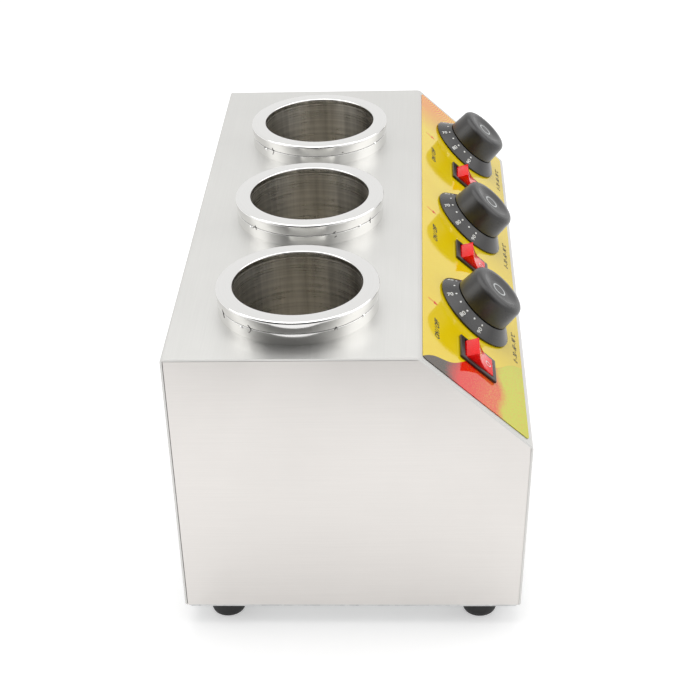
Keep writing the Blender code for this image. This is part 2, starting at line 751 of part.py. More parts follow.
def make_dial(index, slope):
    """Skirt, cap and shaft: the pieces that turn together on the shaft's axis."""
    number = index + 1
    axis = put_frame(f"dial_axis_{number}", slope, dial_place(index))
    web_base = SKIRT_TOP_H - SKIRT_WALL
    skirt = [
        (SKIRT_TOP_R, SKIRT_TOP_H),
        (SKIRT_R, SKIRT_BASE_H + SKIRT_EDGE),
        (SKIRT_R, SKIRT_BASE_H),
        (SKIRT_R - SKIRT_WALL, SKIRT_BASE_H),
        (SKIRT_TOP_R - SKIRT_WALL, web_base),
        (HUB_R + GAP, web_base),
        (HUB_R + GAP, SKIRT_TOP_H),
    ]
    put_turned(f"dial_skirt_{number}", skirt, True, DIAL_STEPS, "dial plastic", axis)

    cap_base = SKIRT_TOP_H + CAP_GROOVE
    inner_r = CAP_SHOULDER_R - CAP_WALL
    inner_top = CAP_TOP_H - DISH_DEPTH - CAP_WALL
    shoulder = arc(
        (CAP_SHOULDER_R - CAP_ROUND, CAP_TOP_H - CAP_ROUND), CAP_ROUND, math.pi / 2, 0, CORNER_STEPS
    )
    cap = [(0, CAP_TOP_H - DISH_DEPTH), (DISH_R, CAP_TOP_H - DISH_DEPTH)] + shoulder + [
        (CAP_BASE_R, cap_base),
        (inner_r, cap_base),
        (inner_r, inner_top),
        (HUB_R, inner_top),
        (HUB_R, HUB_BASE_H),
        (SHAFT_R + GAP, HUB_BASE_H),
        (SHAFT_R + GAP, SHAFT_TOP_H + GAP),
        (0, SHAFT_TOP_H + GAP),
    ]
    put_turned(f"dial_cap_{number}", cap, False, DIAL_STEPS, "dial plastic", axis)

    flat_angle = math.acos(SHAFT_FLAT_SHARE)
    section = arc((0, 0), SHAFT_R, flat_angle, 2 * math.pi - flat_angle, SMALL_STEPS)
    length = SHAFT_TOP_H + SHAFT_DEPTH
    shaft = outline_mesh([section], length)
    put(f"dial_shaft_{number}", shaft, "brass", axis, (0, 0, SHAFT_TOP_H - length / 2))


def make_thermostat(index, slope):
    """Body against the back of the slope, its bush through the hole and held by a nut outside."""
    number = index + 1
    width, length, depth = THERMOSTAT_SIZE
    face_h = -SHEET - GAP
    body = put(
        f"thermostat_{number}",
        box_mesh(THERMOSTAT_SIZE),
        "zinc",
        slope,
        dial_place(index, face_h - depth / 2),
    )
    round_edges(body, THERMOSTAT_EDGE, 1)
    bush_height = BUSH_TOP_H - face_h + THERMOSTAT_EDGE
    bush = cylinder_mesh(BUSH_R, bush_height, SMALL_STEPS)
    bush_place = dial_place(index, BUSH_TOP_H - bush_height / 2)
    weld_on(body, put_tool(f"bush_{number}", bush, slope, bush_place))
    ceramic_h = face_h - depth - CERAMIC_SIZE[2] / 2 + THERMOSTAT_EDGE
    weld_on(body, put_tool(f"ceramic_{number}", box_mesh(CERAMIC_SIZE), slope, dial_place(index, ceramic_h)))
    blade_h = ceramic_h - CERAMIC_SIZE[2] / 2 - BLADE_SIZE[2] / 2 + THERMOSTAT_EDGE
    for side_name, side in (("left", -1), ("right", 1)):
        place = dial_place(index, blade_h) + Vector((side * BLADE_SPACING, 0, 0))
        weld_on(body, put_tool(f"{side_name}_blade_{number}", box_mesh(BLADE_SIZE), slope, place))
    bore_height = BUSH_TOP_H + SHAFT_DEPTH + GAP
    bore = cylinder_mesh(SHAFT_R + GAP, bore_height + CUT_OVERRUN, SMALL_STEPS)
    bore_place = dial_place(index, BUSH_TOP_H - bore_height / 2 + CUT_OVERRUN / 2)
    cut(body, put_tool(f"shaft_bore_{number}", bore, slope, bore_place))

    nut_base = OVERLAY_TOP_H + GAP
    nut_loops = [
        circle_loop((0, 0), NUT_R, HEX_STEPS),
        circle_loop((0, 0), BUSH_HOLE_R, SMALL_STEPS),
    ]
    nut = outline_mesh(nut_loops, NUT_HEIGHT)
    put(f"thermostat_nut_{number}", nut, "zinc", slope, dial_place(index, nut_base + NUT_HEIGHT / 2))


def make_switch(index, slope):
    """A frame that clips into the slope, and the rocker that tips on trunnions in its side walls."""
    number = index + 1
    bezel_h = BEZEL_BASE_H + BEZEL_HEIGHT / 2
    body = put(
        f"switch_body_{number}",
        box_mesh((BEZEL_WIDTH, BEZEL_LENGTH, BEZEL_HEIGHT)),
        "black plastic",
        slope,
        switch_place(index, bezel_h),
    )
    round_edges(body, BEZEL_EDGE, 1)
    housing_height = HOUSING_DEPTH + bezel_h
    housing = box_mesh((HOUSING_WIDTH, HOUSING_LENGTH, housing_height))
    housing_place = switch_place(index, bezel_h - housing_height / 2)
    weld_on(body, put_tool(f"housing_{number}", housing, slope, housing_place))
    blade_h = -HOUSING_DEPTH - BLADE_SIZE[2] / 2 + HOUSING_WALL
    for blade in range(SWITCH_BLADE_COUNT):
        offset = (blade - (SWITCH_BLADE_COUNT - 1) / 2) * BLADE_SPACING
        place = switch_place(index, blade_h) + Vector((0, offset, 0))
        tool = put_tool(f"switch_blade_{number}_{blade}", box_mesh(BLADE_SIZE), slope, place)
        weld_on(body, tool)
    cavity_height = CAVITY_DEPTH + BEZEL_TOP_H + CUT_OVERRUN
    cavity = box_mesh((CAVITY_WIDTH, CAVITY_LENGTH, cavity_height))
    cavity_place = switch_place(index, cavity_height / 2 - CAVITY_DEPTH)
    cut(body, put_tool(f"rocker_cavity_{number}", cavity, slope, cavity_place))
    sideways = Matrix.Rotation(math.pi / 2, 4, "Y")
    hole_length = HOUSING_WIDTH + CUT_OVERRUN
    holes = cylinder_mesh(TRUNNION_R + GAP, hole_length, SMALL_STEPS, sideways)
    cut(body, put_tool(f"trunnion_holes_{number}", holes, slope, switch_place(index, -PIVOT_DROP)))

    sag = ROCKER_TIP_Z - ROCKER_VALLEY_Z
    valley_r = (ROCKER_TIP_Y**2 + sag**2) / (2 * sag)
    half_angle = math.asin(ROCKER_TIP_Y / valley_r)
    down = -math.pi / 2
    valley_centre = (0, ROCKER_VALLEY_Z + valley_r)
    section = arc(valley_centre, valley_r, down - half_angle, down + half_angle, VALLEY_STEPS)
    section += [
        (ROCKER_HALF_LENGTH, -ROCKER_SHOULDER_DROP),
        (ROCKER_BASE_HALF, -ROCKER_BASE_DROP),
        (-ROCKER_BASE_HALF, -ROCKER_BASE_DROP),
        (-ROCKER_HALF_LENGTH, -ROCKER_SHOULDER_DROP),
    ]
    mesh = outline_mesh([section], ROCKER_WIDTH)
    mesh.transform(Matrix(((0, 0, 1, 0), (1, 0, 0, 0), (0, 1, 0, 0), (0, 0, 0, 1))))
    pivot = switch_place(index, -PIVOT_DROP)
    rocker = put(f"switch_rocker_{number}", mesh, "red lens", slope, pivot, (ROCKER_TILT, 0, 0))
    trunnion = cylinder_mesh(TRUNNION_R, ROCKER_WIDTH + 2 * TRUNNION_REACH, SMALL_STEPS, sideways)
    weld_on(rocker, put_tool(f"trunnion_{number}", trunnion, slope, pivot))


def make_sensor_and_lead(index, slope_to_world):
    """The bulb that lies against the cup, its capillary, and the lead from thermostat to band."""
    number = index + 1
    well = well_place(index)
    outward = Vector((math.cos(BULB_ANGLE), math.sin(BULB_ANGLE), 0))
    foot = well + outward * (CUP_R + GAP + BULB_R)
    foot.z = BAND_LOW_Z + BAND_HEIGHT + BULB_ABOVE_BAND
    head = foot + Vector((0, 0, BULB_LENGTH))
    neck = head + Vector((0, 0, BULB_R / 2))
    body_h = -SHEET - GAP - THERMOSTAT_SIZE[2] / 2
    port_local = dial_place(index, body_h) + Vector((0, THERMOSTAT_SIZE[1] / 2 + GAP, 0))
    port = slope_to_world @ port_local
    up_slope = slope_to_world.to_3x3() @ Vector((0, 1, 0))
    route = bezier_points(
        neck,
        neck + Vector((0, 0, CAPILLARY_HANDLE_UP)),
        port + up_slope * CAPILLARY_HANDLE_PORT,
        port,
        TUBE_POINTS,
    )
    bulb_share = BULB_R / CAPILLARY_R
    radius_shares = [bulb_share, bulb_share] + [1] * len(route)
    put_tube(f"sensor_{number}", [foot, head] + route, CAPILLARY_R, "copper", radius_shares)

    band_outward = Vector((math.cos(BAND_TERMINAL_ANGLE), math.sin(BAND_TERMINAL_ANGLE), 0))
    start = well + band_outward * (BAND_R + BAND_TERMINAL[0] - BAND_WALL / 2 + GAP)
    start.z = BAND_LOW_Z + BAND_HEIGHT / 2
    blade_end = -SHEET - THERMOSTAT_SIZE[2] - CERAMIC_SIZE[2] - BLADE_SIZE[2] + 2 * THERMOSTAT_EDGE
    end_local = dial_place(index, blade_end - 2 * GAP) + Vector((BLADE_SPACING, 0, 0))
    end = slope_to_world @ end_local
    into_body = slope_to_world.to_3x3() @ Vector((0, 0, -1))
    lead = bezier_points(
        start,
        start + band_outward * LEAD_BAND_HANDLE,
        end + into_body * LEAD_PORT_HANDLE,
        end,
        TUBE_POINTS,
    )
    put_tube(f"heater_lead_{number}", lead, LEAD_R, "red insulation")


def make_foot(number, place):
    top = FOOT_HEIGHT - GAP
    foot = [
        (FOOT_TOP_R, top),
        (FOOT_WAIST_R, FOOT_HEIGHT / 2),
        (FOOT_LOW_R, FOOT_LOW_Z),
        (FOOT_CURVE_R, FOOT_CURVE_Z),
        (FOOT_TREAD_R, 0),
        (FOOT_RECESS_R, 0),
        (FOOT_RECESS_R, FOOT_RECESS_DEPTH),
        (FOOT_SCREW_R + GAP, FOOT_RECESS_DEPTH),
        (FOOT_SCREW_R + GAP, top),
    ]
    put_turned(f"foot_{number}", foot, True, FOOT_STEPS, "rubber", location=(*place, 0))
    seat = FOOT_RECESS_DEPTH - GAP
    put_screw(
        f"foot_screw_{number}",
        place,
        seat,
        (FOOT_SCREW_HEAD_R, FOOT_SCREW_HEAD),
        (FOOT_SCREW_R, UNDER_Z + SHEET + FOOT_SCREW_TAIL),
    )


def put_screw(name, place, seat_z, head, shank):
    """A pan-head screw driven upwards: its head hangs under seat_z and its shank ends at a height."""
    head_r, head_height = head
    shank_r, tip_z = shank
    profile = [
        (0, tip_z),
        (shank_r, tip_z),
        (shank_r, seat_z),
        (head_r, seat_z),
        (head_r, seat_z - head_height + SCREW_HEAD_EDGE),
        (head_r - SCREW_HEAD_EDGE, seat_z - head_height),
        (0, seat_z - head_height),
    ]
    put_turned(name, profile, False, SMALL_STEPS, "zinc", location=(*place, 0))


def make_cord_entry():
    """A flanged gland through the back wall, and the nut that holds it from inside."""
    place = (SUPPLY_X, 0, UNDER_Z + GLAND_ABOVE_BASE)
    outer_face = GLAND_FLANGE + GAP
    tail = -SHEET - GLAND_TAIL
    rounding = arc(
        (GLAND_FLANGE_R - GLAND_ROUND, outer_face - GLAND_ROUND), GLAND_ROUND, math.pi / 2, 0, CORNER_STEPS
    )
    gland = rounding + [
        (GLAND_FLANGE_R, GAP),
        (GLAND_NECK_R, GAP),
        (GLAND_NECK_R, tail),
        (GLAND_BORE_R, tail),
        (GLAND_BORE_R, outer_face),
    ]
    facing_back = (-math.pi / 2, 0, 0)
    wall = (place[0], BACK_Y, place[2])
    put_turned(
        "cord_gland", gland, True, FOOT_STEPS, "black plastic", location=wall, rotation=facing_back
    )
    nut_loops = [
        circle_loop((0, 0), GLAND_NUT_R, HEX_STEPS),
        circle_loop((0, 0), GLAND_NECK_R + GAP, FOOT_STEPS),
    ]
    nut = outline_mesh(nut_loops, GLAND_NUT_HEIGHT)
    nut_y = BACK_Y - SHEET - GAP - GLAND_NUT_HEIGHT / 2
    put("gland_nut", nut, "black plastic", location=(place[0], nut_y, place[2]), rotation=facing_back)


def make_terminal_block():
    width, length, height = BLOCK_SIZE
    centre = Vector((SUPPLY_X, BACK_Y - BLOCK_BACK_INSET, UNDER_Z + SHEET + GAP + height / 2))
    block = put("terminal_block", box_mesh(BLOCK_SIZE), "ceramic", location=centre)
    round_edges(block, BLOCK_EDGE, 1)
    pole_pitch = length / BLOCK_POLES
    for pole in range(BLOCK_POLES):
        offset = (pole - (BLOCK_POLES - 1) / 2) * pole_pitch
        hole_height = BLOCK_WELL_DEPTH + CUT_OVERRUN
        hole = cylinder_mesh(BLOCK_WELL_R, hole_height, SMALL_STEPS)
        rise = height / 2 - BLOCK_WELL_DEPTH + hole_height / 2
        cut(block, put_tool(f"terminal_well_{pole}", hole, location=centre + Vector((0, offset, rise))))


def make_earth_stud():
    base = UNDER_Z + SHEET + GAP
    profile = [
        (0, base + STUD_HEIGHT),
        (STUD_R, base + STUD_HEIGHT),
        (STUD_R, base + 2 * STUD_NUT_HEIGHT),
        (STUD_NUT_R, base + 2 * STUD_NUT_HEIGHT),
        (STUD_NUT_R, base),
        (0, base),
    ]
    place = (SUPPLY_X, BACK_Y - STUD_BACK_INSET, 0)
    put_turned("earth_stud", profile, False, HEX_STEPS, "brass", location=place)


def main():
    slope = put_frame("slope_frame", None, (LEFT_X, TOP_FRONT_Y, TOP_Z), (SLOPE_ANGLE, 0, 0))
    make_casing(slope)
    make_end_panel("left_end_panel", -1)
    make_end_panel("right_end_panel", 1)
    make_base_plate()
    make_overlay(slope)
    for index in range(WELL_COUNT):
        make_well(index)
        make_heater_band(index)
        make_thermostat(index, slope)
        make_dial(index, slope)
        make_switch(index, slope)
        make_sensor_and_lead(index, slope_matrix())
    for index, place in enumerate(foot_places()):
        make_foot(index + 1, place)
    for index, place in enumerate(base_screw_places()):
        seat = UNDER_Z - GAP
        tip = SHELL_Z + SHEET + BASE_SCREW_TAIL
        head = (BASE_SCREW_HEAD_R, BASE_SCREW_HEAD)
        put_screw(f"base_screw_{index + 1}", place, seat, head, (BASE_SCREW_R, tip))
    make_cord_entry()
    make_terminal_block()
    make_earth_stud()
    bpy.context.view_layer.update()


clear_scene()
PARTS = new_collection("topping_warmer")
CUTTERS = new_collection("cutters")
main()
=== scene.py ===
import json
import math
import bpy
from mathutils import Matrix, Vector


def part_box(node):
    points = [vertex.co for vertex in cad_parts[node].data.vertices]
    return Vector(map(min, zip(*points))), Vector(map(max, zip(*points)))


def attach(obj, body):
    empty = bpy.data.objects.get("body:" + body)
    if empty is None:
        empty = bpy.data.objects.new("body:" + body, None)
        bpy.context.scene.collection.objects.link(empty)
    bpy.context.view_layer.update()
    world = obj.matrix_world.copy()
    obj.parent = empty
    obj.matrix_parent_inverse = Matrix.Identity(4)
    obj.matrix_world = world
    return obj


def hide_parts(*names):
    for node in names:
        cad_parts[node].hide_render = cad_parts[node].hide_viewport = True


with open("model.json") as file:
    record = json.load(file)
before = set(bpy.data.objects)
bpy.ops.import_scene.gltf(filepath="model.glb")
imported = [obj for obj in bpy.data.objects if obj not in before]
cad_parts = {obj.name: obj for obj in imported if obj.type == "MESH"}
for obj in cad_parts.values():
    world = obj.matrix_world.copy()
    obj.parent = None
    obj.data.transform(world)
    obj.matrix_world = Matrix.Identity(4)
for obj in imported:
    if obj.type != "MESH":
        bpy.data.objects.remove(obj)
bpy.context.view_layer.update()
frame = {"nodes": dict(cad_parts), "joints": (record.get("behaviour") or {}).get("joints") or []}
bpy.ops.object.select_all(action="DESELECT")
print("topping warmer: frame loaded")

mm = 0.001
wells = ["1", "2", "3"]
feet = ["1", "2", "3", "4"]
tidyLimit = 0.002 * mm  # corners closer than this become one
facing = 0.9  # how far a normal points one way before it counts
longEdge = 100 * mm  # an edge that runs along the casing is longer

# the control slope: along it from the left end, up it, and out of it
joints = {joint["name"]: joint for joint in frame["joints"]}
slopeOut = Vector(joints["dial_1_turn"]["axis"]).normalized()
slopeAngle = math.atan2(-slopeOut.y, slopeOut.z)
slopeTurn = Matrix.Rotation(slopeAngle, 4, "X")
casing = {
    "sheet": 1.2 * mm, "bend": 1.5 * mm, "bendSteps": 5, "topFrontY": -40.3 * mm, "slopeFootZ": 131.8 * mm,
    "frontLean": 4.5 * mm, "flange": 14 * mm, "flangeNotch": 14 * mm, "notchGap": 0.15 * mm,
    "wellHole": 40.4 * mm, "bushHole": 5.1 * mm, "switchHole": (21.8 * mm, 25.6 * mm), "glandHole": 7.3 * mm,
    "holeSteps": 64, "smallHoleSteps": 32, "cutReach": 12 * mm,
    "footBendY": 90 * mm,  # the bends at the foot lie further out than this
}
casingLow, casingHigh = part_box("body_shell")
slopeTop = Vector((casingLow.x, casing["topFrontY"], casingHigh.z))
slopeFoot = Vector((0, casingLow.y, casing["slopeFootZ"]))
frontFoot = Vector((0, casingLow.y + casing["frontLean"], casingLow.z))
slopeFrame = Matrix.Translation(slopeTop) @ slopeTurn


def jointAt(name):
    return Vector(joints[name]["pos_m"])


def above(centre):
    return Matrix.Translation((centre.x, centre.y, 0))


# the way out of a flat that rises from foot to top
def wayOut(foot, top):
    rise = Vector((0, top.y - foot.y, top.z - foot.z)).normalized()
    return Vector((0, -rise.z, rise.y))


slopeCut, frontCut = wayOut(slopeFoot, slopeTop), wayOut(frontFoot, slopeFoot)


def middleOf(nodeName):
    low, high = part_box(nodeName)
    return (low + high) / 2


# shaping helpers

def choose(piece):
    bpy.ops.object.select_all(action="DESELECT")
    piece.select_set(True)
    bpy.context.view_layer.objects.active = piece


def startEdit(piece):
    choose(piece)
    bpy.ops.object.mode_set(mode="EDIT")


def endEdit():
    bpy.ops.object.mode_set(mode="OBJECT")


def takeAll():
    bpy.ops.mesh.select_all(action="SELECT")


# turns the faces outwards, after a merge where corners lie in one place, and leaves edit mode
def closeUp(merge=False):
    takeAll()
    if merge:
        bpy.ops.mesh.remove_doubles(threshold=tidyLimit)
    bpy.ops.mesh.normals_make_consistent(inside=False)
    endEdit()


# select only the corners, edges or faces that pass the test, and stay in edit mode
def pick(piece, kind, test):
    bpy.ops.mesh.select_mode(type=kind)
    bpy.ops.mesh.select_all(action="DESELECT")
    bpy.ops.object.mode_set(mode="OBJECT")
    mesh = piece.data
    if kind == "FACE":
        for face in mesh.polygons:
            face.select = bool(test(face.center, face.normal))
    elif kind == "EDGE":
        for edge in mesh.edges:
            edge.select = bool(test(*(mesh.vertices[end].co for end in edge.vertices)))
    else:
        for corner in mesh.vertices:
            corner.select = bool(test(corner.co))
    bpy.ops.object.mode_set(mode="EDIT")


def slide(x, y, z):
    bpy.ops.transform.translate(value=(x, y, z))


def stretch(x, y, z):
    bpy.ops.transform.resize(value=(x, y, z))


def pushOut(x, y, z):
    bpy.ops.mesh.extrude_region_move(TRANSFORM_OT_translate={"value": (x, y, z)})


# draws the picked corners or faces of a piece together or apart
def taper(piece, kind, test, x, y, z):
    startEdit(piece)
    pick(piece, kind, test)
    stretch(x, y, z)
    endEdit()


# cuts off all that lies outside a flat, and closes the cut
def trim(at, out):
    takeAll()
    bpy.ops.mesh.bisect(plane_co=at, plane_no=out, use_fill=True, clear_outer=True)


def block(name, low, high):
    centre = (Vector(low) + Vector(high)) / 2
    size = Vector(high) - Vector(low)
    bpy.ops.mesh.primitive_cube_add(size=1, location=centre, scale=size)
    piece = bpy.context.object
    piece.name = piece.data.name = name
    bpy.ops.object.transform_apply(location=True, rotation=True, scale=True)
    return piece


# one corner, drawn out point by point into an open line
def drawLine(name, points):
    bpy.ops.mesh.primitive_plane_add(size=1 * mm)
    piece = bpy.context.object
    piece.name = piece.data.name = name
    startEdit(piece)
    bpy.ops.mesh.select_mode(type="VERT")
    takeAll()
    bpy.ops.mesh.merge(type="CENTER")
    slide(*points[0])
    for start, end in zip(points, points[1:]):
        pushOut(*(Vector(end) - Vector(start)))
    return piece


# a closed outline, filled and pushed out to a solid
def slab(name, outline, x, y, z):
    piece = drawLine(name, outline + outline[:1])
    takeAll()
    bpy.ops.mesh.remove_doubles(threshold=tidyLimit)
    bpy.ops.mesh.edge_face_add()
    pushOut(x, y, z)
    closeUp()
    return piece


# replaces each corner that has a radius by an arc: points are (across, up, radius)
def rounded(points, steps=6):
    line = []
    for index, (across, up, radius) in enumerate(points):
        corner = Vector((across, up))
        if radius == 0:
            line.append(corner)
            continue
        before = (Vector(points[index - 1][:2]) - corner).normalized()
        after = (Vector(points[(index + 1) % len(points)][:2]) - corner).normalized()
        half = before.angle(after) / 2
        reach = radius / math.tan(half)
        centre = corner + (before + after).normalized() * radius / math.sin(half)
        start = corner + before * reach - centre
        end = corner + after * reach - centre
        turn = math.atan2(start.x * end.y - start.y * end.x, start.dot(end))
        for step in range(steps + 1):
            angle = turn * step / steps
            line.append(centre + Matrix.Rotation(angle, 2) @ start)
    return line


# a section spun once round the upright axis; a closed section comes back to its first point
def lathe(name, section, steps, closed=True):
    points = [(point[0], 0, point[1]) for point in section]
    if closed:
        points.append(points[0])
    piece = drawLine(name, points)
    takeAll()
    bpy.ops.mesh.spin(steps=steps, angle=2 * math.pi, center=(0, 0, 0), axis=(0, 0, 1))
    closeUp(merge=True)
    return piece


def smooth(piece, angle=30):
    choose(piece)
    bpy.ops.object.shade_smooth_by_angle(angle=math.radians(angle))


def finishModifier(piece, modifier):
    choose(piece)
    bpy.ops.object.modifier_apply(modifier=modifier.name)


def soften(piece, width, steps=3, angle=30):
    bevel = piece.modifiers.new("soft edges", "BEVEL")
    bevel.width = width
    bevel.segments = steps
    bevel.limit_method = "ANGLE"
    bevel.angle_limit = math.radians(angle)
    finishModifier(piece, bevel)


def cutAway(piece, tool):
    boolean = piece.modifiers.new("cut", "BOOLEAN")
    boolean.operation = "DIFFERENCE"
    boolean.solver = "EXACT"
    boolean.object = tool
    finishModifier(piece, boolean)
    discard(tool)


def moved(piece, matrix):
    choose(piece)
    piece.matrix_world = matrix
    bpy.ops.object.transform_apply(location=True, rotation=True, scale=True)
    return piece


def copied(piece, name, matrix=Matrix()):
    choose(piece)
    bpy.ops.object.duplicate()
    twin = bpy.context.object
    twin.name = twin.data.name = name
    return moved(twin, matrix)


def discard(*pieces):
    for piece in pieces:
        bpy.data.objects.remove(piece, do_unlink=True)


def joined(name, pieces):
    bpy.ops.object.select_all(action="DESELECT")
    for piece in pieces:
        piece.select_set(True)
    bpy.context.view_layer.objects.active = pieces[0]
    bpy.ops.object.join()
    piece = bpy.context.object
    piece.name = piece.data.name = name
    return piece


def install(piece, material, body="casing", node=None):
    piece.data.materials.clear()
    piece.data.materials.append(material)
    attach(piece, body)
    if node:
        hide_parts(node)


# material helpers

socketNames = {
    "colour": "Base Color", "roughness": "Roughness", "metallic": "Metallic", "ior": "IOR",
    "specular": "Specular IOR Level", "scatter": "Subsurface Weight", "scatterScale": "Subsurface Scale",
    "glow": "Emission Strength", "glowColour": "Emission Color",
}


def shaderOf(material):
    return material.node_tree.nodes["Principled BSDF"]


def newMaterial(name, **sockets):
    material = bpy.data.materials.new(name)
    material.use_nodes = True
    for socket, value in sockets.items():
        colour = isinstance(value, tuple)
        shaderOf(material).inputs[socketNames[socket]].default_value = (*value, 1) if colour else value
    return material


def node(material, kind, **values):
    made = material.node_tree.nodes.new("ShaderNode" + kind)
    for key, value in values.items():
        setattr(made, key, value)
    return made


def wire(material, source, target):
    material.node_tree.links.new(source, target)


def paint(material, socket, source):
    wire(material, source, shaderOf(material).inputs[socket])


def shade(colour, share):
    return tuple(min(1.0, channel * share) for channel in colour)


def place(material, location=(0, 0, 0), turn=(0, 0, 0), scale=(1, 1, 1)):
    where = node(material, "TexCoord")
    mapping = node(material, "Mapping", vector_type="TEXTURE")
    mapping.inputs["Location"].default_value = location
    mapping.inputs["Rotation"].default_value = turn
    mapping.inputs["Scale"].default_value = scale
    wire(material, where.outputs["Object"], mapping.inputs["Vector"])
    return mapping.outputs["Vector"]


def sums(material, operation, first, second=None, third=None):
    made = node(material, "Math", operation=operation)
    for index, value in enumerate((first, second, third)):
        if value is None:
            continue
        if isinstance(value, (int, float)):
            made.inputs[index].default_value = value
        else:
            wire(material, value, made.inputs[index])
    return made.outputs[0]


def times(material, first, second):
    return sums(material, "MULTIPLY", first, second)


def plus(material, first, second):
    return sums(material, "ADD", first, second)


def partsOf(material, vector):
    made = node(material, "SeparateXYZ")
    wire(material, vector, made.inputs[0])
    return made.outputs


def vectorOf(material, *parts):
    made = node(material, "CombineXYZ")
    for socket, part in zip(made.inputs, parts):
        wire(material, part, socket)
    return made.outputs[0]


def grain(material, scale, detail=3, roughness=0.5, vector=None):
    made = node(material, "TexNoise")
    made.inputs["Scale"].default_value = scale
    made.inputs["Detail"].default_value = detail
    made.inputs["Roughness"].default_value = roughness
    wire(material, place(material) if vector is None else vector, made.inputs["Vector"])
    return made.outputs["Fac"]


def cells(material, scale):
    made = node(material, "TexVoronoi")
    made.inputs["Scale"].default_value = scale
    wire(material, place(material), made.inputs["Vector"])
    return made.outputs


def spread(material, value, low, high, fromLow=0.0, fromHigh=1.0):
    made = node(material, "MapRange")
    for socket, number in zip(("From Min", "From Max", "To Min", "To Max"), (fromLow, fromHigh, low, high)):
        made.inputs[socket].default_value = number
    wire(material, value, made.inputs["Value"])
    return made.outputs["Result"]


def blendColours(material, share, first, second, mode="MIX"):
    made = node(material, "Mix", data_type="RGBA", blend_type=mode)
    if isinstance(share, (int, float)):
        made.inputs[0].default_value = share
    else:
        wire(material, share, made.inputs[0])
    for index, value in ((6, first), (7, second)):
        if isinstance(value, tuple):
            made.inputs[index].default_value = (*value, 1)
        else:
            wire(material, value, made.inputs[index])
    return made.outputs[2]


# runs from the first colour to the second as the value goes from low to high
def vary(material, value, low, high, first, second):
    return blendColours(material, spread(material, value, 0, 1, low, high), first, second)


def ramp(material, value, stops):
    made = node(material, "ValToRGB")
    elements = made.color_ramp.elements
    while len(elements) < len(stops):
        elements.new(0.5)
    for element, (position, colour) in zip(elements, stops):
        element.position = position
        element.color = (*colour, 1)
    wire(material, value, made.inputs["Fac"])
    return made.outputs["Color"]


def relief(material, height, strength):
    made = node(material, "Bump")
    made.inputs["Strength"].default_value = strength
    made.inputs["Distance"].default_value = 0.1 * mm
    wire(material, height, made.inputs["Height"])
    paint(material, "Normal", made.outputs["Normal"])


# finishes

wellPitch = jointAt("dial_2_turn").x - jointAt("dial_1_turn").x
ringCentre = middleOf("well_rim_1")
ringStep = middleOf("well_rim_2").x - ringCentre.x


# distance from the nearest well's axis, the angle round it, and the height
def wellCoordinates(material):
    spot = partsOf(material, place(material, (ringCentre.x, ringCentre.y, 0)))
    across = sums(material, "WRAP", spot[0], ringStep / 2, -ringStep / 2)
    squares = plus(material, times(material, across, across), times(material, spot[1], spot[1]))
    return sums(material, "SQRT", squares), sums(material, "ARCTAN2", spot[1], across), spot[2]


# satin sheet: long fine lines one way, slow cloudiness, faint wipe marks
def sheetSteel(name, lineShape, colour, roughness):
    steel = newMaterial(name, colour=colour, roughness=roughness, metallic=1.0)
    lines = grain(steel, 1, 4, 0.6, place(steel, scale=lineShape))
    clouds = grain(steel, 22, 4, 0.55)
    wipes = grain(steel, 3, 2, vector=place(steel, turn=(0.3, 0.2, 0.7), scale=(0.5, 0.08, 0.3)))
    tone = vary(steel, lines, 0.3, 0.7, shade(colour, 0.97), shade(colour, 1.02))
    smudged = spread(steel, clouds, 0.0, 0.6, 0.52, 0.80)
    paint(steel, "Base Color", blendColours(steel, smudged, tone, shade(colour, 0.955)))
    lineGloss = spread(steel, lines, roughness - 0.025, roughness + 0.02, 0.3, 0.7)
    paint(steel, "Roughness", plus(steel, lineGloss, spread(steel, wipes, -0.015, 0.03, 0.35, 0.65)))
    relief(steel, lines, 0.012)
    return steel


casingSteel = sheetSteel("casing steel", (0.05, 0.00035, 0.00035), (0.650, 0.645, 0.625), 0.42)
endSteel = sheetSteel("end panel steel", (0.00035, 0.05, 0.00035), (0.728, 0.701, 0.676), 0.33)


# wander is how far the turning lines stray on their way round; the last argument adds upright bands, marks from drawing
# the cup together with a painted reflection of the room
def turnedSteel(name, colour, roughness, uneven, lineScale, lineDepth, stain, drawnOut, wander=0.6, drawMarksAndPaintedReflection=0.0):
    steel = newMaterial(name, colour=colour, roughness=roughness, metallic=1.0)
    radius, angle, height = wellCoordinates(steel)
    lines = grain(steel, 1, 1, 0.6, vectorOf(
        steel, times(steel, radius, lineScale), times(steel, angle, wander), times(steel, height, lineScale)))
    if drawMarksAndPaintedReflection:
        # upright bands: marks from drawing the cup together with a painted reflection of the room's light and dark
        # sides in the bore, the same all round but for their spacing
        marks = grain(steel, 1, 4, 0.65, vectorOf(steel, times(steel, angle, 2.6), times(steel, height, 3)))
        tone = vary(steel, marks, 0.36, 0.66, shade(colour, 1 - drawMarksAndPaintedReflection), shade(colour, 1 + drawMarksAndPaintedReflection))
        fine = vary(steel, lines, 0.34, 0.66, (1 - stain,) * 3, (1 + stain,) * 3)
        tone = blendColours(steel, 1.0, tone, fine, "MULTIPLY")
    else:
        tone = vary(steel, lines, 0.3, 0.7, shade(colour, 1 - stain), shade(colour, 1 + stain))
    paint(steel, "Base Color", tone)
    lineGloss = spread(steel, lines, roughness * (1 - uneven), roughness * (1 + uneven), 0.3, 0.7)
    cloudGloss = spread(steel, grain(steel, 60, 2), -0.01, 0.02, 0.3, 0.7)
    paint(steel, "Roughness", plus(steel, lineGloss, cloudGloss))
    relief(steel, lines, lineDepth)
    # the turning marks run round the wells, so the reflections are drawn out up and down
    paint(steel, "Tangent", node(steel, "Tangent", direction_type="RADIAL", axis="Z").outputs[0])
    shaderOf(steel).inputs["Anisotropic"].default_value = drawnOut
    shaderOf(steel).inputs["Anisotropic Rotation"].default_value = 0.25
    return steel


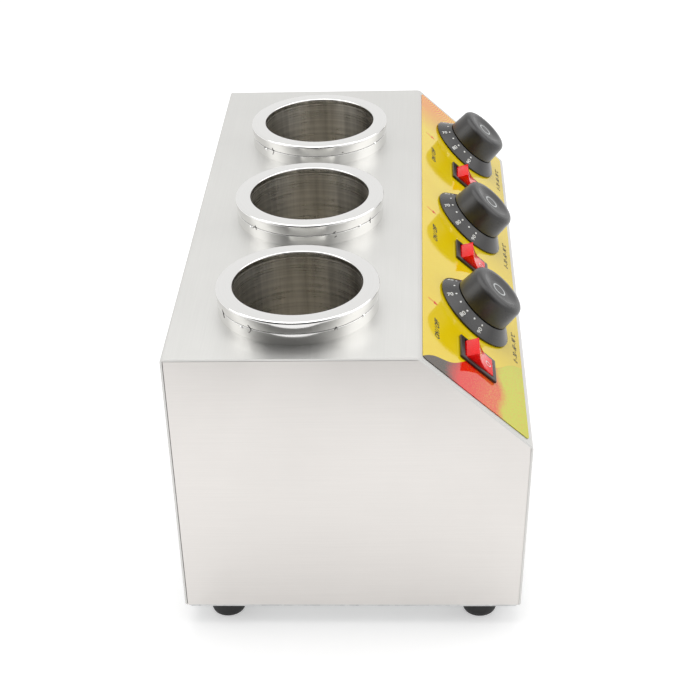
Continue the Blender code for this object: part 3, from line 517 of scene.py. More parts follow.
ringSteel = turnedSteel("polished ring steel", (0.775, 0.77, 0.755), 0.075, 0.10, 2600, 0.006, 0.012, 0.80)
# the bore's last figure is the strength of its painted reflection bands, lighter and darker upright stripes standing
# for the room mirrored in the wall
boreSteel = turnedSteel("turned bore steel with painted reflection bands", (0.70, 0.67, 0.61), 0.28, 0.06, 620, 0.0, 0.11, 0.85, 0.0, 0.26)

beadSteel = newMaterial("weld bead steel", colour=(0.95, 0.95, 0.94), roughness=0.22, metallic=1.0)
relief(beadSteel, grain(beadSteel, 900, 2), 0.3)
tackStain = newMaterial("tack stain", colour=(0.03, 0.027, 0.025), roughness=0.6)
tackSoot = grain(tackStain, 700, 2)
paint(tackStain, "Base Color", vary(tackStain, tackSoot, 0.35, 0.7, (0.012, 0.011, 0.011), (0.07, 0.06, 0.055)))

zincSteel = newMaterial("zinc plate", colour=(0.58, 0.585, 0.58), roughness=0.38, metallic=1.0)
spangle = partsOf(zincSteel, cells(zincSteel, 260)["Color"])
paint(zincSteel, "Base Color", blendColours(zincSteel, spangle[0], (0.50, 0.51, 0.51), (0.64, 0.645, 0.64)))
paint(zincSteel, "Roughness", spread(zincSteel, spangle[1], 0.28, 0.46))
relief(zincSteel, grain(zincSteel, 1800, 2), 0.08)


def drawnMetal(name, light, dark, roughness):
    metal = newMaterial(name, colour=light, roughness=roughness, metallic=1.0)
    clouds = grain(metal, 160, 4, 0.6)
    paint(metal, "Base Color", vary(metal, clouds, 0.35, 0.7, light, dark))
    paint(metal, "Roughness", spread(metal, clouds, roughness - 0.06, roughness + 0.12, 0.3, 0.7))
    relief(metal, grain(metal, 2400, 2, vector=place(metal, scale=(1, 1, 0.05))), 0.1)
    return metal


brassMetal = drawnMetal("machined brass", (0.74, 0.56, 0.24), (0.55, 0.39, 0.16), 0.28)
copperMetal = drawnMetal("drawn copper", (0.74, 0.36, 0.22), (0.46, 0.20, 0.13), 0.30)


# moulded plastic or rubber: fine spark-eroded grain and slightly uneven gloss
def moulded(name, colour, roughness, grainScale=2600, grainDepth=0.05, **sockets):
    plastic = newMaterial(name, colour=colour, roughness=roughness, **sockets)
    fine = grain(plastic, grainScale, 2, 0.6)
    broad = grain(plastic, 45)
    paint(plastic, "Base Color", vary(plastic, broad, 0.3, 0.7, shade(colour, 0.88), shade(colour, 1.12)))
    fineGloss = spread(plastic, fine, roughness - 0.04, roughness + 0.04, 0.3, 0.7)
    paint(plastic, "Roughness", plus(plastic, fineGloss, spread(plastic, broad, -0.03, 0.04, 0.3, 0.7)))
    relief(plastic, fine, grainDepth)
    return plastic


dialPlastic = moulded("dial plastic", (0.023, 0.022, 0.022), 0.30, 2600, 0.22, ior=1.56)
switchPlastic = moulded("switch frame plastic", (0.030, 0.021, 0.018), 0.30, 3200, 0.08)
footRubber = moulded("foot rubber", (0.016, 0.016, 0.016), 0.62, 1900, 0.35)
glandPlastic = moulded("gland nylon", (0.026, 0.025, 0.025), 0.42, 2400, 0.18)
leadRubber = moulded("lead insulation", (0.52, 0.03, 0.02), 0.48, 2200, 0.15)
blockCeramic = moulded("block ceramic", (0.70, 0.67, 0.60), 0.52, 1500, 0.20)
markInk = moulded("white scale ink", (0.78, 0.79, 0.78), 0.45)
printInk = moulded("black print ink", (0.020, 0.018, 0.015), 0.55)
arrowInk = moulded("red print ink", (0.74, 0.012, 0.006), 0.38)
ringInk = moulded("pale ring ink", (0.56, 0.58, 0.58), 0.35)

# red translucent rocker with a lamp diffuser's mottling inside
rockerPlastic = newMaterial("red rocker lens", colour=(0.90, 0.003, 0.004), roughness=0.14, ior=1.36,
                            scatter=0.3, scatterScale=2.5 * mm)
mottle = cells(rockerPlastic, 1150)["Distance"]
paint(rockerPlastic, "Base Color", vary(rockerPlastic, mottle, 0.1, 0.7, (1.0, 0.010, 0.007), (0.84, 0.001, 0.002)))
relief(rockerPlastic, mottle, 0.09)

# the printed film: yellow, with a wavy banded corner at the near end and fine stripes at the far one
film = {
    "yellow": (0.850, 0.620, 0.001), "paleYellow": (0.860, 0.650, 0.005), "gold": (0.740, 0.560, 0.030),
    "grey": (0.060, 0.045, 0.034), "red": (0.800, 0.006, 0.002), "coral": (0.800, 0.085, 0.022),
    "green": (0.600, 0.640, 0.020), "fleck": (0.760, 0.400, 0.030), "pink": (0.820, 0.070, 0.040),
    "speckle": 700, "fineSpeckle": 1500, "broadSpeckle": 60, "dullFrom": 40 * mm, "dullTo": 85 * mm,
    "dullShare": 0.6, "cornerStart": 2 * mm, "cornerSlope": 0.93, "cornerSoft": 0.2 * mm, "waveLength": 34 * mm,
    "waveDepth": 2.6 * mm,
    "bandTurns": 150,  # of the boundaries' wave, in radians to the metre
    "bandWaveDepth": 2.2 * mm, "bandRough": 9 * mm, "bandDepth": 88 * mm,
    "bands": ((0.0, "grey"), (0.24, "grey"), (0.36, "red"), (0.48, "red"),
              (0.62, "coral"), (0.69, "coral"), (0.76, "green"), (1.0, "green")),
    "fleckFrom": 30 * mm, "fleckTo": 58 * mm, "fleckShare": 0.85, "strayFlecks": 0.16, "filmLength": 391 * mm,
    "stripeTurns": 3400,  # in radians to the metre
    "stripesFull": 20 * mm, "stripesGone": 62 * mm,
}


def printedFilm():
    ink = newMaterial("printed film", colour=film["yellow"], roughness=0.07, ior=1.5)
    spot = partsOf(ink, place(ink, tuple(slopeTop), (slopeAngle, 0, 0)))
    along, down = spot[0], times(ink, spot[1], -1)
    speckle = grain(ink, film["speckle"], 3, 0.65)
    fineSpeckle = grain(ink, film["fineSpeckle"], 2, 0.6)
    broadSpeckle = grain(ink, film["broadSpeckle"], 3, 0.6)
    field = vary(ink, broadSpeckle, 0.35, 0.7, film["yellow"], film["paleYellow"])
    # the lower half is printed a little duller
    dull = spread(ink, down, 0, film["dullShare"], film["dullFrom"], film["dullTo"])
    field = blendColours(ink, dull, field, film["gold"])
    # near corner: bands that follow one wave, with a second wave for their boundaries
    wave = times(ink, sums(ink, "SINE", times(ink, down, 2 * math.pi / film["waveLength"])), film["waveDepth"])
    edge = plus(ink, sums(ink, "MULTIPLY_ADD", down, film["cornerSlope"], film["cornerStart"]), wave)
    inCorner = spread(ink, sums(ink, "SUBTRACT", edge, along), 0, 1, -film["cornerSoft"], film["cornerSoft"])
    bandWave = times(ink, sums(ink, "SINE", times(ink, along, film["bandTurns"])), film["bandWaveDepth"])
    bandRough = times(ink, sums(ink, "SUBTRACT", speckle, 0.5), film["bandRough"])
    bandPlace = plus(ink, plus(ink, down, bandWave), bandRough)
    bands = ramp(ink, spread(ink, bandPlace, 0, 1, 0, film["bandDepth"]),
                 [(position, film[colour]) for position, colour in film["bands"]])
    flecks = times(ink, spread(ink, fineSpeckle, 0, film["fleckShare"], 0.52, 0.66),
                   spread(ink, down, 0, 1, film["fleckFrom"], film["fleckTo"]))
    tone = blendColours(ink, inCorner, field, blendColours(ink, flecks, bands, film["fleck"]))
    # far corner: a quarter round of fine stripes
    across = sums(ink, "SUBTRACT", film["filmLength"], along)
    reach = sums(ink, "SQRT", plus(ink, times(ink, across, across), times(ink, down, down)))
    stripes = sums(ink, "SINE", times(ink, reach, film["stripeTurns"]))
    striped = times(ink, spread(ink, reach, 1, 0, film["stripesFull"], film["stripesGone"]),
                    spread(ink, stripes, 0.25, 1, -0.6, 0.9))
    tone = blendColours(ink, striped, tone, film["pink"])
    tone = blendColours(ink, spread(ink, fineSpeckle, 0, film["strayFlecks"], 0.5, 0.8), tone, film["fleck"])
    paint(ink, "Base Color", tone)
    paint(ink, "Roughness", spread(ink, speckle, 0.05, 0.09, 0.3, 0.7))
    relief(ink, speckle, 0.02)
    return ink


filmPrint = printedFilm()
print("topping warmer: finishes ready")

# CAD nodes that stay: each gets its finish
keptNodes = {
    "panel_overlay": filmPrint,
    "base_plate": zincSteel,
    "gland_nut": glandPlastic,
    "terminal_block": blockCeramic,
    "earth_stud": brassMetal,
}
for number in wells:
    keptNodes["heater_band_" + number] = zincSteel
    keptNodes["thermostat_" + number] = zincSteel
    keptNodes["thermostat_nut_" + number] = zincSteel
    keptNodes["dial_shaft_" + number] = brassMetal
    keptNodes["sensor_" + number] = copperMetal
    keptNodes["heater_lead_" + number] = leadRubber
for number in feet:
    keptNodes["foot_screw_" + number] = zincSteel
    keptNodes["base_screw_" + number] = zincSteel
for name, material in keptNodes.items():
    for slotted in frame["nodes"][name].material_slots:
        slotted.material = material


# casing: one bent sheet

def drill(piece, radius, at, steps, turn=(0, 0, 0)):
    bpy.ops.mesh.primitive_cylinder_add(vertices=steps, radius=radius, depth=casing["cutReach"], location=at,
                                        rotation=turn)
    cutAway(piece, bpy.context.object)


def makeCasing():
    low, high = casingLow, casingHigh
    sheet = block("casing", low, high)
    startEdit(sheet)
    # the slope is cut, and the foot of the front is drawn back
    trim(slopeFoot, slopeCut)
    pick(sheet, "VERT", lambda at: at.z < low.z + mm and at.y < 0)
    slide(0, casing["frontLean"], 0)
    # the ends and the bottom are opened, and the flanges turned in
    pick(sheet, "FACE", lambda at, out: abs(out.x) > facing or out.z < -facing)
    bpy.ops.mesh.delete(type="FACE")
    for side in (-1, 1):
        pick(sheet, "EDGE", lambda a, b: max(a.z, b.z) < low.z + mm and a.y * side > 0 and b.y * side > 0
             and abs(a.x - b.x) > longEdge)
        pushOut(0, -side * casing["flange"], 0)
    # bends
    pick(sheet, "EDGE", lambda a, b: abs(a.x - b.x) > longEdge
         and (a.z > low.z + mm or abs(a.y) > casing["footBendY"]))
    bpy.ops.mesh.bevel(offset=casing["bend"], segments=casing["bendSteps"])
    closeUp(merge=True)
    top = max(sheet.data.polygons, key=lambda face: face.center.z)
    if top.normal.z < 0:
        startEdit(sheet)
        takeAll()
        bpy.ops.mesh.flip_normals()
        endEdit()
    wall = sheet.modifiers.new("wall", "SOLIDIFY")
    wall.thickness = casing["sheet"]
    wall.offset = -1
    wall.use_even_offset = True
    finishModifier(sheet, wall)
    # openings
    reach, fewSteps = casing["cutReach"], casing["smallHoleSteps"]
    for number in wells:
        centre = middleOf("well_rim_" + number)
        drill(sheet, casing["wellHole"], (centre.x, centre.y, high.z), casing["holeSteps"])
        drill(sheet, casing["bushHole"], jointAt("dial_" + number + "_turn"), fewSteps, (slopeAngle, 0, 0))
        bpy.ops.mesh.primitive_cube_add(size=1, location=jointAt("rocker_" + number + "_tip"),
                                        rotation=(slopeAngle, 0, 0), scale=(*casing["switchHole"], reach))
        cutAway(sheet, bpy.context.object)
    glandAt = middleOf("cord_gland")
    drill(sheet, casing["glandHole"], (glandAt.x, high.y, glandAt.z), fewSteps, (math.pi / 2, 0, 0))
    # the flanges stop short of the end panels
    notch = casing["flangeNotch"]
    for endX in (low.x, high.x):
        for backY, inward in ((high.y, -1), (low.y + casing["frontLean"], 1)):
            start = backY + inward * (casing["sheet"] + casing["notchGap"])
            stop = start + inward * casing["flange"] * 2
            tool = block("notch", (endX - notch, min(start, stop), low.z - reach / 3),
                         (endX + notch, max(start, stop), low.z + reach / 3))
            cutAway(sheet, tool)
    smooth(sheet, 25)
    install(sheet, casingSteel, node="body_shell")


# end panels: shallow pans inside the ends of the sheet

endPanel = {
    "depth": 12 * mm, "wall": 1.2 * mm, "bend": 0.10 * mm, "bendSteps": 2, "gap": 0.02 * mm, "edgeReach": 0.5 * mm,
}


def makeEndPanel(side, nodeName):
    low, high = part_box(nodeName)
    drawnIn = casing["sheet"] + endPanel["gap"]
    pan = block("endPanel" + ("Left" if side < 0 else "Right"), low, high)
    startEdit(pan)
    trim(slopeFoot - slopeCut * drawnIn, slopeCut)
    trim(slopeFoot - frontCut * drawnIn, frontCut)
    outer = high.x if side > 0 else low.x
    pick(pan, "EDGE", lambda a, b: min(abs(a.x - outer), abs(b.x - outer)) < endPanel["edgeReach"])
    bpy.ops.mesh.bevel(offset=endPanel["bend"], segments=endPanel["bendSteps"])
    pick(pan, "FACE", lambda at, out: out.x * side < -facing)
    bpy.ops.mesh.inset(thickness=endPanel["wall"])
    pushOut(side * (endPanel["depth"] - endPanel["wall"]), 0, 0)
    closeUp()
    smooth(pan, 25)
    install(pan, endSteel, node=nodeName)


makeCasing()
makeEndPanel(-1, "left_end_panel")
makeEndPanel(1, "right_end_panel")
print("topping warmer: casing and end panels made")

# wells: collar, rim and cup, turned once and set three times

well = {
    "steps": 128, "rimRadius": 48.4 * mm, "boreRadius": 38.4 * mm, "seatRadius": 39.7 * mm, "cupWall": 1.0 * mm,
    "cupCorner": 7 * mm, "rimRound": 1.5 * mm, "lipRound": 0.9 * mm, "seamRound": 0.30 * mm,
    "footGap": 0.02 * mm, "drawnIn": 0.75 * mm, "seamStep": 0.04 * mm, "lip": 3 * mm,
}


def makeWells():
    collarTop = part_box("well_collar_1")[1].z
    (rimLow, rimHigh), (cupLow, cupHigh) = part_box("well_rim_1"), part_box("well_cup_1")
    outer, bore, seat = well["rimRadius"], well["boreRadius"], well["seatRadius"]
    # the collar is welded down: its skirt closes on the sheet; the rim is drawn in towards the seam
    waist = outer - well["drawnIn"]
    collar = waist + well["seamStep"]
    footZ = casingHigh.z + well["footGap"]
    collarSection = rounded((
        (seat, footZ, 0), (collar, footZ, 0), (collar, collarTop, well["seamRound"]), (seat, collarTop, 0)), 4)
    lipZ = rimHigh.z - well["lip"]
    rimSection = rounded((
        (seat, rimLow.z, 0), (waist, rimLow.z, well["seamRound"]), (outer, rimHigh.z, well["rimRound"]),
        (bore, rimHigh.z, well["lipRound"]), (bore, lipZ, 0), (seat, lipZ, 0)))
    wall, corner = well["cupWall"], well["cupCorner"]
    floor = cupLow.z + wall
    cupSection = rounded((
        (0, floor, 0), (bore, floor, corner), (bore, cupHigh.z, 0), (bore + wall, cupHigh.z, 0),
        (bore + wall, cupLow.z, corner + wall), (0, cupLow.z, 0)), 8)
    for nodeStart, pieceName, section, closed, material, slot in (
            ("well_collar_", "wellCollar", collarSection, True, ringSteel, "polished_steel"),
            ("well_rim_", "wellRim", rimSection, True, ringSteel, "polished_steel"),
            ("well_cup_", "wellCup", cupSection, False, boreSteel, "well_steel")):
        master = lathe(pieceName + "Master", section, well["steps"], closed)
        smooth(master)
        for number in wells:
            piece = copied(master, pieceName + number, above(middleOf(nodeStart + number)))
            install(piece, material, node=nodeStart + number)
        discard(master)


makeWells()

# weld beads and tack stains along each ring's seam: angle round the ring, height over the sheet's top
seamMarks = {
    "bead": {"radius": 1.05 * mm, "flat": 0.55, "long": 1.25, "crownFrom": 0.4, "crown": (0.8, 0.9, 0.9), "places": {
        "1": ((141.2, 6.4), (-123.9, 7.2)),
        "2": ((131.0, 6.3), (-134.8, 7.1)),
        "3": ((131.0, 6.5), (-122.4, 7.3)),
    }},
    # each stain: angle, height, lean from upright in degrees, length
    "stain": {"width": 0.95 * mm, "proud": 0.22 * mm, "endWidth": 0.35, "stretch": 1.35, "places": {
        "1": ((148.6, 8.2, -38, 2.6), (148.9, 5.6, 38, 2.4), (119.4, 7.6, -25, 4.0), (-150.0, 7.4, 30, 1.6),
              (-148.8, 7.3, -20, 1.3)),
        "2": ((137.2, 7.6, -20, 2.2), (134.8, 7.1, 55, 1.8), (-157.7, 8.4, 70, 1.3), (-157.1, 5.2, 62, 1.2),
              (-123.2, 7.7, 0, 3.0)),
        "3": ((139.7, 8.3, -28, 2.0), (139.9, 5.7, 28, 2.0), (128.5, 7.0, 60, 1.5), (-157.5, 9.0, 75, 0.9)),
    }},
}


def onRing(number, angle, height):
    low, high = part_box("well_rim_" + number)
    centre = middleOf("well_rim_" + number)
    turn = Matrix.Rotation(math.radians(angle), 4, "Z")
    at = casingHigh.z + height * mm
    share = min((high.z - at) / (high.z - low.z), 1)
    out = well["rimRadius"] - well["drawnIn"] * share
    return Matrix.Translation((centre.x, centre.y, at)) @ turn @ Matrix.Translation((out, 0, 0))


def makeSeamMarks():
    bead, stain = seamMarks["bead"], seamMarks["stain"]
    bpy.ops.mesh.primitive_uv_sphere_add(segments=16, ring_count=10, radius=bead["radius"])
    beadMaster = bpy.context.object
    taper(beadMaster, "VERT", lambda at: True, bead["flat"], bead["long"], 1)
    taper(beadMaster, "VERT", lambda at: at.x > bead["radius"] * bead["crownFrom"], *bead["crown"])
    smooth(beadMaster, 60)
    stainCorner = Vector((stain["proud"], stain["width"] / 2, mm / 2))
    stainMaster = block("stainMaster", -stainCorner, stainCorner)
    taper(stainMaster, "FACE", lambda at, out: abs(out.z) > facing, 1, stain["endWidth"], 1)
    for number in wells:
        beads = [copied(beadMaster, "bead", onRing(number, angle, height)) for angle, height in bead["places"][number]]
        install(joined("weldBeads" + number, beads), beadSteel)
        stains = []
        for angle, height, lean, length in stain["places"][number]:
            turn = Matrix.Rotation(math.radians(-lean), 4, "X")
            shape = turn @ Matrix.Diagonal((1, 1, length * stain["stretch"], 1))
            stains.append(copied(stainMaster, "stain", onRing(number, angle, height) @ shape))
        install(joined("tackStains" + number, stains), tackStain)
    discard(beadMaster, stainMaster)


makeSeamMarks()
print("topping warmer: wells made")

# dials: scale skirt with its numbers, cap with its dish

dial = {
    "steps": 96, "skirtRadius": 27.7 * mm, "skirtTopRadius": 19.9 * mm, "skirtBase": 1.1 * mm,
    "skirtEdge": 0.6 * mm, "skirtTop": 8.0 * mm, "skirtWall": 1.4 * mm, "hubRadius": 6.5 * mm,
    "hubBase": 4.6 * mm, "gap": 0.3 * mm, "capBaseRadius": 19.7 * mm, "capBase": 8.6 * mm,
    "capShoulderRadius": 18.8 * mm, "capTop": 24.3 * mm, "capRound": 3.8 * mm, "capWall": 2.2 * mm,
    "dishRadius": 10.5 * mm, "dishDepth": 1.3 * mm, "shaftRadius": 3.0 * mm, "shaftTop": 17.5 * mm,
    "ringIn": 4.025 * mm, "ringOut": 4.975 * mm, "ringSunk": 0.05 * mm, "ringProud": 0.07 * mm,
}

# clockwise angle from the top of the dial, seen from outside, at rest
dialScale = {
    "numbers": {"90": -91.1, "80": -57.6, "70": -20.8, "60": 23.7, "50": 61, "40": 98, "30": 135, "0": 172},
    "dots": (-74.4, -39.1, 1.5, 42.3, 79.5, 116.5, 153.5), "numberRadius": 25.0 * mm, "numberSize": 3.9 * mm,
    "numberWeight": 0.05 * mm, "dotRadius": 22.0 * mm, "dotSize": 0.70 * mm, "dotTop": 0.86,
    "thickness": 0.10 * mm,
}


# a place on the scale cone: x runs up the cone towards the cap, y clockwise, z out of the surface
def onCone(angle, radius):
    turn = math.radians(angle)
    outward = Vector((math.sin(turn), math.cos(turn), 0))
    sideways = Vector((math.cos(turn), -math.sin(turn), 0))
    base = dial["skirtBase"] + dial["skirtEdge"]
    across, rise = dial["skirtRadius"] - dial["skirtTopRadius"], dial["skirtTop"] - base
    fall = Vector((across, rise)).normalized()
    inward = Vector((0, 0, fall.y)) - outward * fall.x
    normal = outward * fall.y + Vector((0, 0, fall.x))
    height = base + (dial["skirtRadius"] - radius) / across * rise
    columns = Matrix((inward, sideways, normal)).transposed().to_4x4()
    return Matrix.Translation(outward * radius + Vector((0, 0, height))) @ columns


def lettering(name, words, size, thickness, slant=0.0, weight=0.0):
    bpy.ops.object.text_add(location=(0, 0, 0))
    text = bpy.context.object
    text.name = name
    text.data.body = words
    text.data.size = size
    text.data.extrude = thickness / 2
    text.data.shear = slant
    text.data.offset = weight
    text.data.align_x = text.data.align_y = "CENTER"
    text.data.resolution_u = 4
    choose(text)
    bpy.ops.object.convert(target="MESH")
    text = bpy.context.object
    text.data.name = name
    startEdit(text)
    takeAll()
    bpy.ops.mesh.remove_doubles(threshold=tidyLimit)
    endEdit()
    return text


def makeDialMarks():
    scale, thick = dialScale, dialScale["thickness"]
    marks = []
    for words, angle in scale["numbers"].items():
        number = lettering("number", words, scale["numberSize"], thick, weight=scale["numberWeight"])
        marks.append(moved(number, onCone(angle, scale["numberRadius"])))
    bpy.ops.mesh.primitive_cylinder_add(vertices=20, radius=scale["dotSize"], depth=thick)
    dotMaster = bpy.context.object
    taper(dotMaster, "FACE", lambda at, out: out.z > facing, scale["dotTop"], scale["dotTop"], 1)
    for angle in (*scale["numbers"].values(), *scale["dots"]):
        marks.append(copied(dotMaster, "dot", onCone(angle, scale["dotRadius"])))
    discard(dotMaster)
    return joined("marksMaster", marks)


def makeDials():
    gap, wall = dial["gap"], dial["skirtWall"]
    radius, topRadius, base, top = (dial[name] for name in ("skirtRadius", "skirtTopRadius", "skirtBase", "skirtTop"))
    web, hub = top - wall, dial["hubRadius"] + gap
    skirtSection = rounded((
        (topRadius, top, 0.25 * mm), (radius, base + dial["skirtEdge"], 0.35 * mm), (radius, base, 0.15 * mm),
        (radius - wall, base, 0.15 * mm), (topRadius - wall, web, 0), (hub, web, 0), (hub, top, 0.1 * mm)), 4)
    capTop, capBase, shoulder = dial["capTop"], dial["capBase"], dial["capShoulderRadius"]
    dishFloor = capTop - dial["dishDepth"]
    inner, innerTop = shoulder - dial["capWall"], dishFloor - dial["capWall"]
    shaft, shaftTop = dial["shaftRadius"] + gap, dial["shaftTop"] + gap
    capSection = rounded((
        (0, dishFloor, 0),
        (dial["dishRadius"] - 3.0 * mm, dishFloor, 5 * mm),
        (dial["dishRadius"] + 2.6 * mm, capTop + 0.1 * mm, 4 * mm),
        (shoulder, capTop - 0.25 * mm, dial["capRound"]),
        (dial["capBaseRadius"], capBase, 0.3 * mm), (inner, capBase, 0.2 * mm), (inner, innerTop, 1 * mm),
        (dial["hubRadius"], innerTop, 0), (dial["hubRadius"], dial["hubBase"], 0.2 * mm),
        (shaft, dial["hubBase"], 0), (shaft, shaftTop, 0), (0, shaftTop, 0)), 8)
    ringFoot, ringTop = dishFloor - dial["ringSunk"], dishFloor + dial["ringProud"]
    ringSection = rounded((
        (dial["ringIn"], ringFoot, 0), (dial["ringOut"], ringFoot, 0),
        (dial["ringOut"], ringTop, 0.04 * mm), (dial["ringIn"], ringTop, 0.04 * mm)), 2)
    skirt = lathe("skirtMaster", skirtSection, dial["steps"])
    cap = lathe("capMaster", capSection, dial["steps"], closed=False)
    capRing = lathe("capRingMaster", ringSection, dial["steps"])
    marks = makeDialMarks()
    for master in (skirt, cap, capRing):
        smooth(master, 35)
    for number in wells:
        at = Matrix.Translation(jointAt("dial_" + number + "_turn")) @ slopeTurn
        for master, pieceName, material, nodeName in (
                (skirt, "dialSkirt", dialPlastic, "dial_skirt_" + number),
                (cap, "dialCap", dialPlastic, "dial_cap_" + number),
                (marks, "dialScale", markInk, None), (capRing, "dialRing", ringInk, None)):
            install(copied(master, pieceName + number, at), material, "dial_" + number, nodeName)
    discard(skirt, cap, capRing, marks)


makeDials()
print("topping warmer: dials made")

# rocker switches

switch = {
    "frame": (24 * mm, 28 * mm), "frameBase": 0.7 * mm, "frameTop": 2.3 * mm, "frameRound": 0.5 * mm,
    "well": (18.6 * mm, 22.4 * mm), "wellFloor": -12.5 * mm, "housingWidth": 21.2 * mm,
    "housingFloor": -20 * mm, "blade": (6.3 * mm, 0.8 * mm, 8 * mm), "bladeSunk": 1 * mm,
    "bladeTip": (0.8, 0.6, 1), "bladePitch": 8 * mm,
}
rocker = {
    "width": 18 * mm, "tipY": 8.74 * mm, "tipZ": 7.36 * mm, "valleyZ": 5.3 * mm, "halfLength": 10.4 * mm,
    "shoulder": -0.6 * mm, "baseHalf": 8.2 * mm, "base": -5.0 * mm, "rest": 20, "valleySteps": 14,
    "edge": 0.45 * mm, "trunnion": 1.5 * mm, "trunnionReach": 1.0 * mm, "trunnionEdge": 0.25 * mm,
    "markAt": 5.2 * mm, "markOut": 2.3 * mm, "markIn": 1.75 * mm, "markBar": (0.6 * mm, 3.6 * mm),
    "markSunk": 0.08 * mm, "markProud": 0.14 * mm, "markEdge": 0.05 * mm,
}
# only the flat of the frame, and not the rounding beside it
flatFacing, nearFlat = 0.99, 0.05 * mm


# the frame with its well for the rocker, and the housing and blades behind the panel
def makeSwitchBody():
    width, length = switch["frame"]
    topZ, baseZ = switch["frameTop"], switch["frameBase"]
    edge = width / 2 - switch["frameRound"]
    wellWidth, wellLength = switch["well"]
    body = block("switchMaster", (-width / 2, -length / 2, baseZ), (width / 2, length / 2, topZ))
    soften(body, switch["frameRound"], 4, 60)
    startEdit(body)
    pick(body, "FACE", lambda at, out: out.z > flatFacing and abs(at.z - topZ) < nearFlat)
    bpy.ops.mesh.inset(thickness=edge - wellWidth / 2)
    pushOut(0, 0, 0)
    stretch(1, wellLength / (wellWidth + length - width), 1)
    pushOut(0, 0, switch["wellFloor"] - topZ)
    pick(body, "FACE", lambda at, out: out.z < -flatFacing and abs(at.z - baseZ) < nearFlat)
    bpy.ops.mesh.inset(thickness=edge - switch["housingWidth"] / 2)
    pushOut(0, 0, switch["housingFloor"] - baseZ)
    closeUp()
    smooth(body, 35)
    blades = []
    for step in (-1, 0, 1):
        corner = Vector(switch["blade"]) / 2
        middle = Vector((0, step * switch["bladePitch"], switch["housingFloor"] + switch["bladeSunk"] - corner.z))
        blade = block("blade", middle - corner, middle + corner)
        taper(blade, "FACE", lambda at, out: out.z < -facing, *switch["bladeTip"])
        blades.append(blade)
    return joined("switchMaster", [body] + blades)


sag = rocker["tipZ"] - rocker["valleyZ"]
valleyRadius = (rocker["tipY"] ** 2 + sag ** 2) / (2 * sag)


# a place on the rocker's hollow top, by its angle from the middle
def onValley(angle, x=0.0):
    return Vector((x, valleyRadius * math.sin(angle), rocker["valleyZ"] + valleyRadius * (1 - math.cos(angle))))


# rocker: its side outline drawn out, filled and pushed across, with the pins it tips on
def makeRocker():
    width, steps = rocker["width"], rocker["valleySteps"]
    half = math.asin(rocker["tipY"] / valleyRadius)
    left = -width / 2
    outline = [onValley(-half + 2 * half * step / steps, left) for step in range(steps + 1)]
    outline += [Vector((left, y, z)) for y, z in (
        (rocker["halfLength"], rocker["shoulder"]), (rocker["baseHalf"], rocker["base"]),
        (-rocker["baseHalf"], rocker["base"]), (-rocker["halfLength"], rocker["shoulder"]))]
    tip = slab("rockerMaster", outline, width, 0, 0)
    soften(tip, rocker["edge"], 4)
    smooth(tip, 40)
    bpy.ops.mesh.primitive_cylinder_add(vertices=24, radius=rocker["trunnion"],
                                        depth=width + 2 * rocker["trunnionReach"], rotation=(0, math.pi / 2, 0))
    trunnion = bpy.context.object
    bpy.ops.object.transform_apply(location=True, rotation=True, scale=True)
    soften(trunnion, rocker["trunnionEdge"], 2)
    smooth(trunnion, 40)
    return joined("rockerMaster", [tip, trunnion])


# a ring on the low half and a bar on the raised one, each lying square on the hollow top
def makeRockerMarks():
    sunk, proud, inside, outside = (rocker[name] for name in ("markSunk", "markProud", "markIn", "markOut"))
    ring = lathe("ringMark", ((inside, -sunk), (outside, -sunk), (outside, proud), (inside, proud)), 40)
    barX, barY = rocker["markBar"]
    bar = block("barMark", (-barX / 2, -barY / 2, -sunk), (barX / 2, barY / 2, proud))
    lean = math.asin(rocker["markAt"] / valleyRadius)
    for mark, angle in ((ring, -lean), (bar, lean)):
        soften(mark, rocker["markEdge"], 2)
        moved(mark, Matrix.Translation(onValley(angle)) @ Matrix.Rotation(angle, 4, "X"))
    marks = joined("rockerMarks", [ring, bar])
    smooth(marks, 40)
    return marks


def makeSwitches():
    body, tip, marks = makeSwitchBody(), makeRocker(), makeRockerMarks()
    rest = Matrix.Rotation(math.radians(rocker["rest"]), 4, "X")
    for number in wells:
        pivot = jointAt("rocker_" + number + "_tip")
        onSlope = pivot - slopeOut * (pivot - slopeTop).dot(slopeOut)
        tipped = Matrix.Translation(pivot) @ slopeTurn @ rest
        install(copied(body, "switchFrame" + number, Matrix.Translation(onSlope) @ slopeTurn), switchPlastic,
                node="switch_body_" + number)
        install(copied(tip, "rocker" + number, tipped), rockerPlastic, "rocker_" + number,
                "switch_rocker_" + number)
        install(copied(marks, "rockerMarks" + number, tipped), markInk, "rocker_" + number)
    discard(body, tip, marks)


makeSwitches()
print("topping warmer: switches made")

# feet and the cord's gland

foot = {
    "steps": 48,
    "topRadius": 11.2 * mm, "waistRadius": 11.1 * mm, "lowRadius": 10.8 * mm, "treadRadius": 8.8 * mm,
    "lowHeight": 3.2 * mm, "recessRadius": 4.6 * mm, "recessDepth": 6 * mm, "boreRadius": 2.3 * mm,
}
gland = {
    "steps": 48,
    "flangeRadius": 10.5 * mm, "neckRadius": 7 * mm, "boreRadius": 4 * mm, "flange": 3 * mm, "gap": 0.3 * mm,
    "tail": 10.2 * mm,
}


def makeFeet():
    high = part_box("foot_1")[1]
    section = rounded((
        (foot["topRadius"], high.z, 0.4 * mm),
        (foot["waistRadius"], high.z / 2, 0),
        (foot["lowRadius"], foot["lowHeight"], 1.5 * mm),
        (foot["treadRadius"] + 1.0 * mm, 0, 1.2 * mm),
        (foot["recessRadius"], 0, 0.4 * mm),
        (foot["recessRadius"], foot["recessDepth"], 0),
        (foot["boreRadius"], foot["recessDepth"], 0),
        (foot["boreRadius"], high.z, 0)), 5)
    master = lathe("footMaster", section, foot["steps"])
    smooth(master, 35)
    for number in feet:
        piece = copied(master, "foot" + number, above(middleOf("foot_" + number)))
        install(piece, footRubber, node="foot_" + number)
    discard(master)


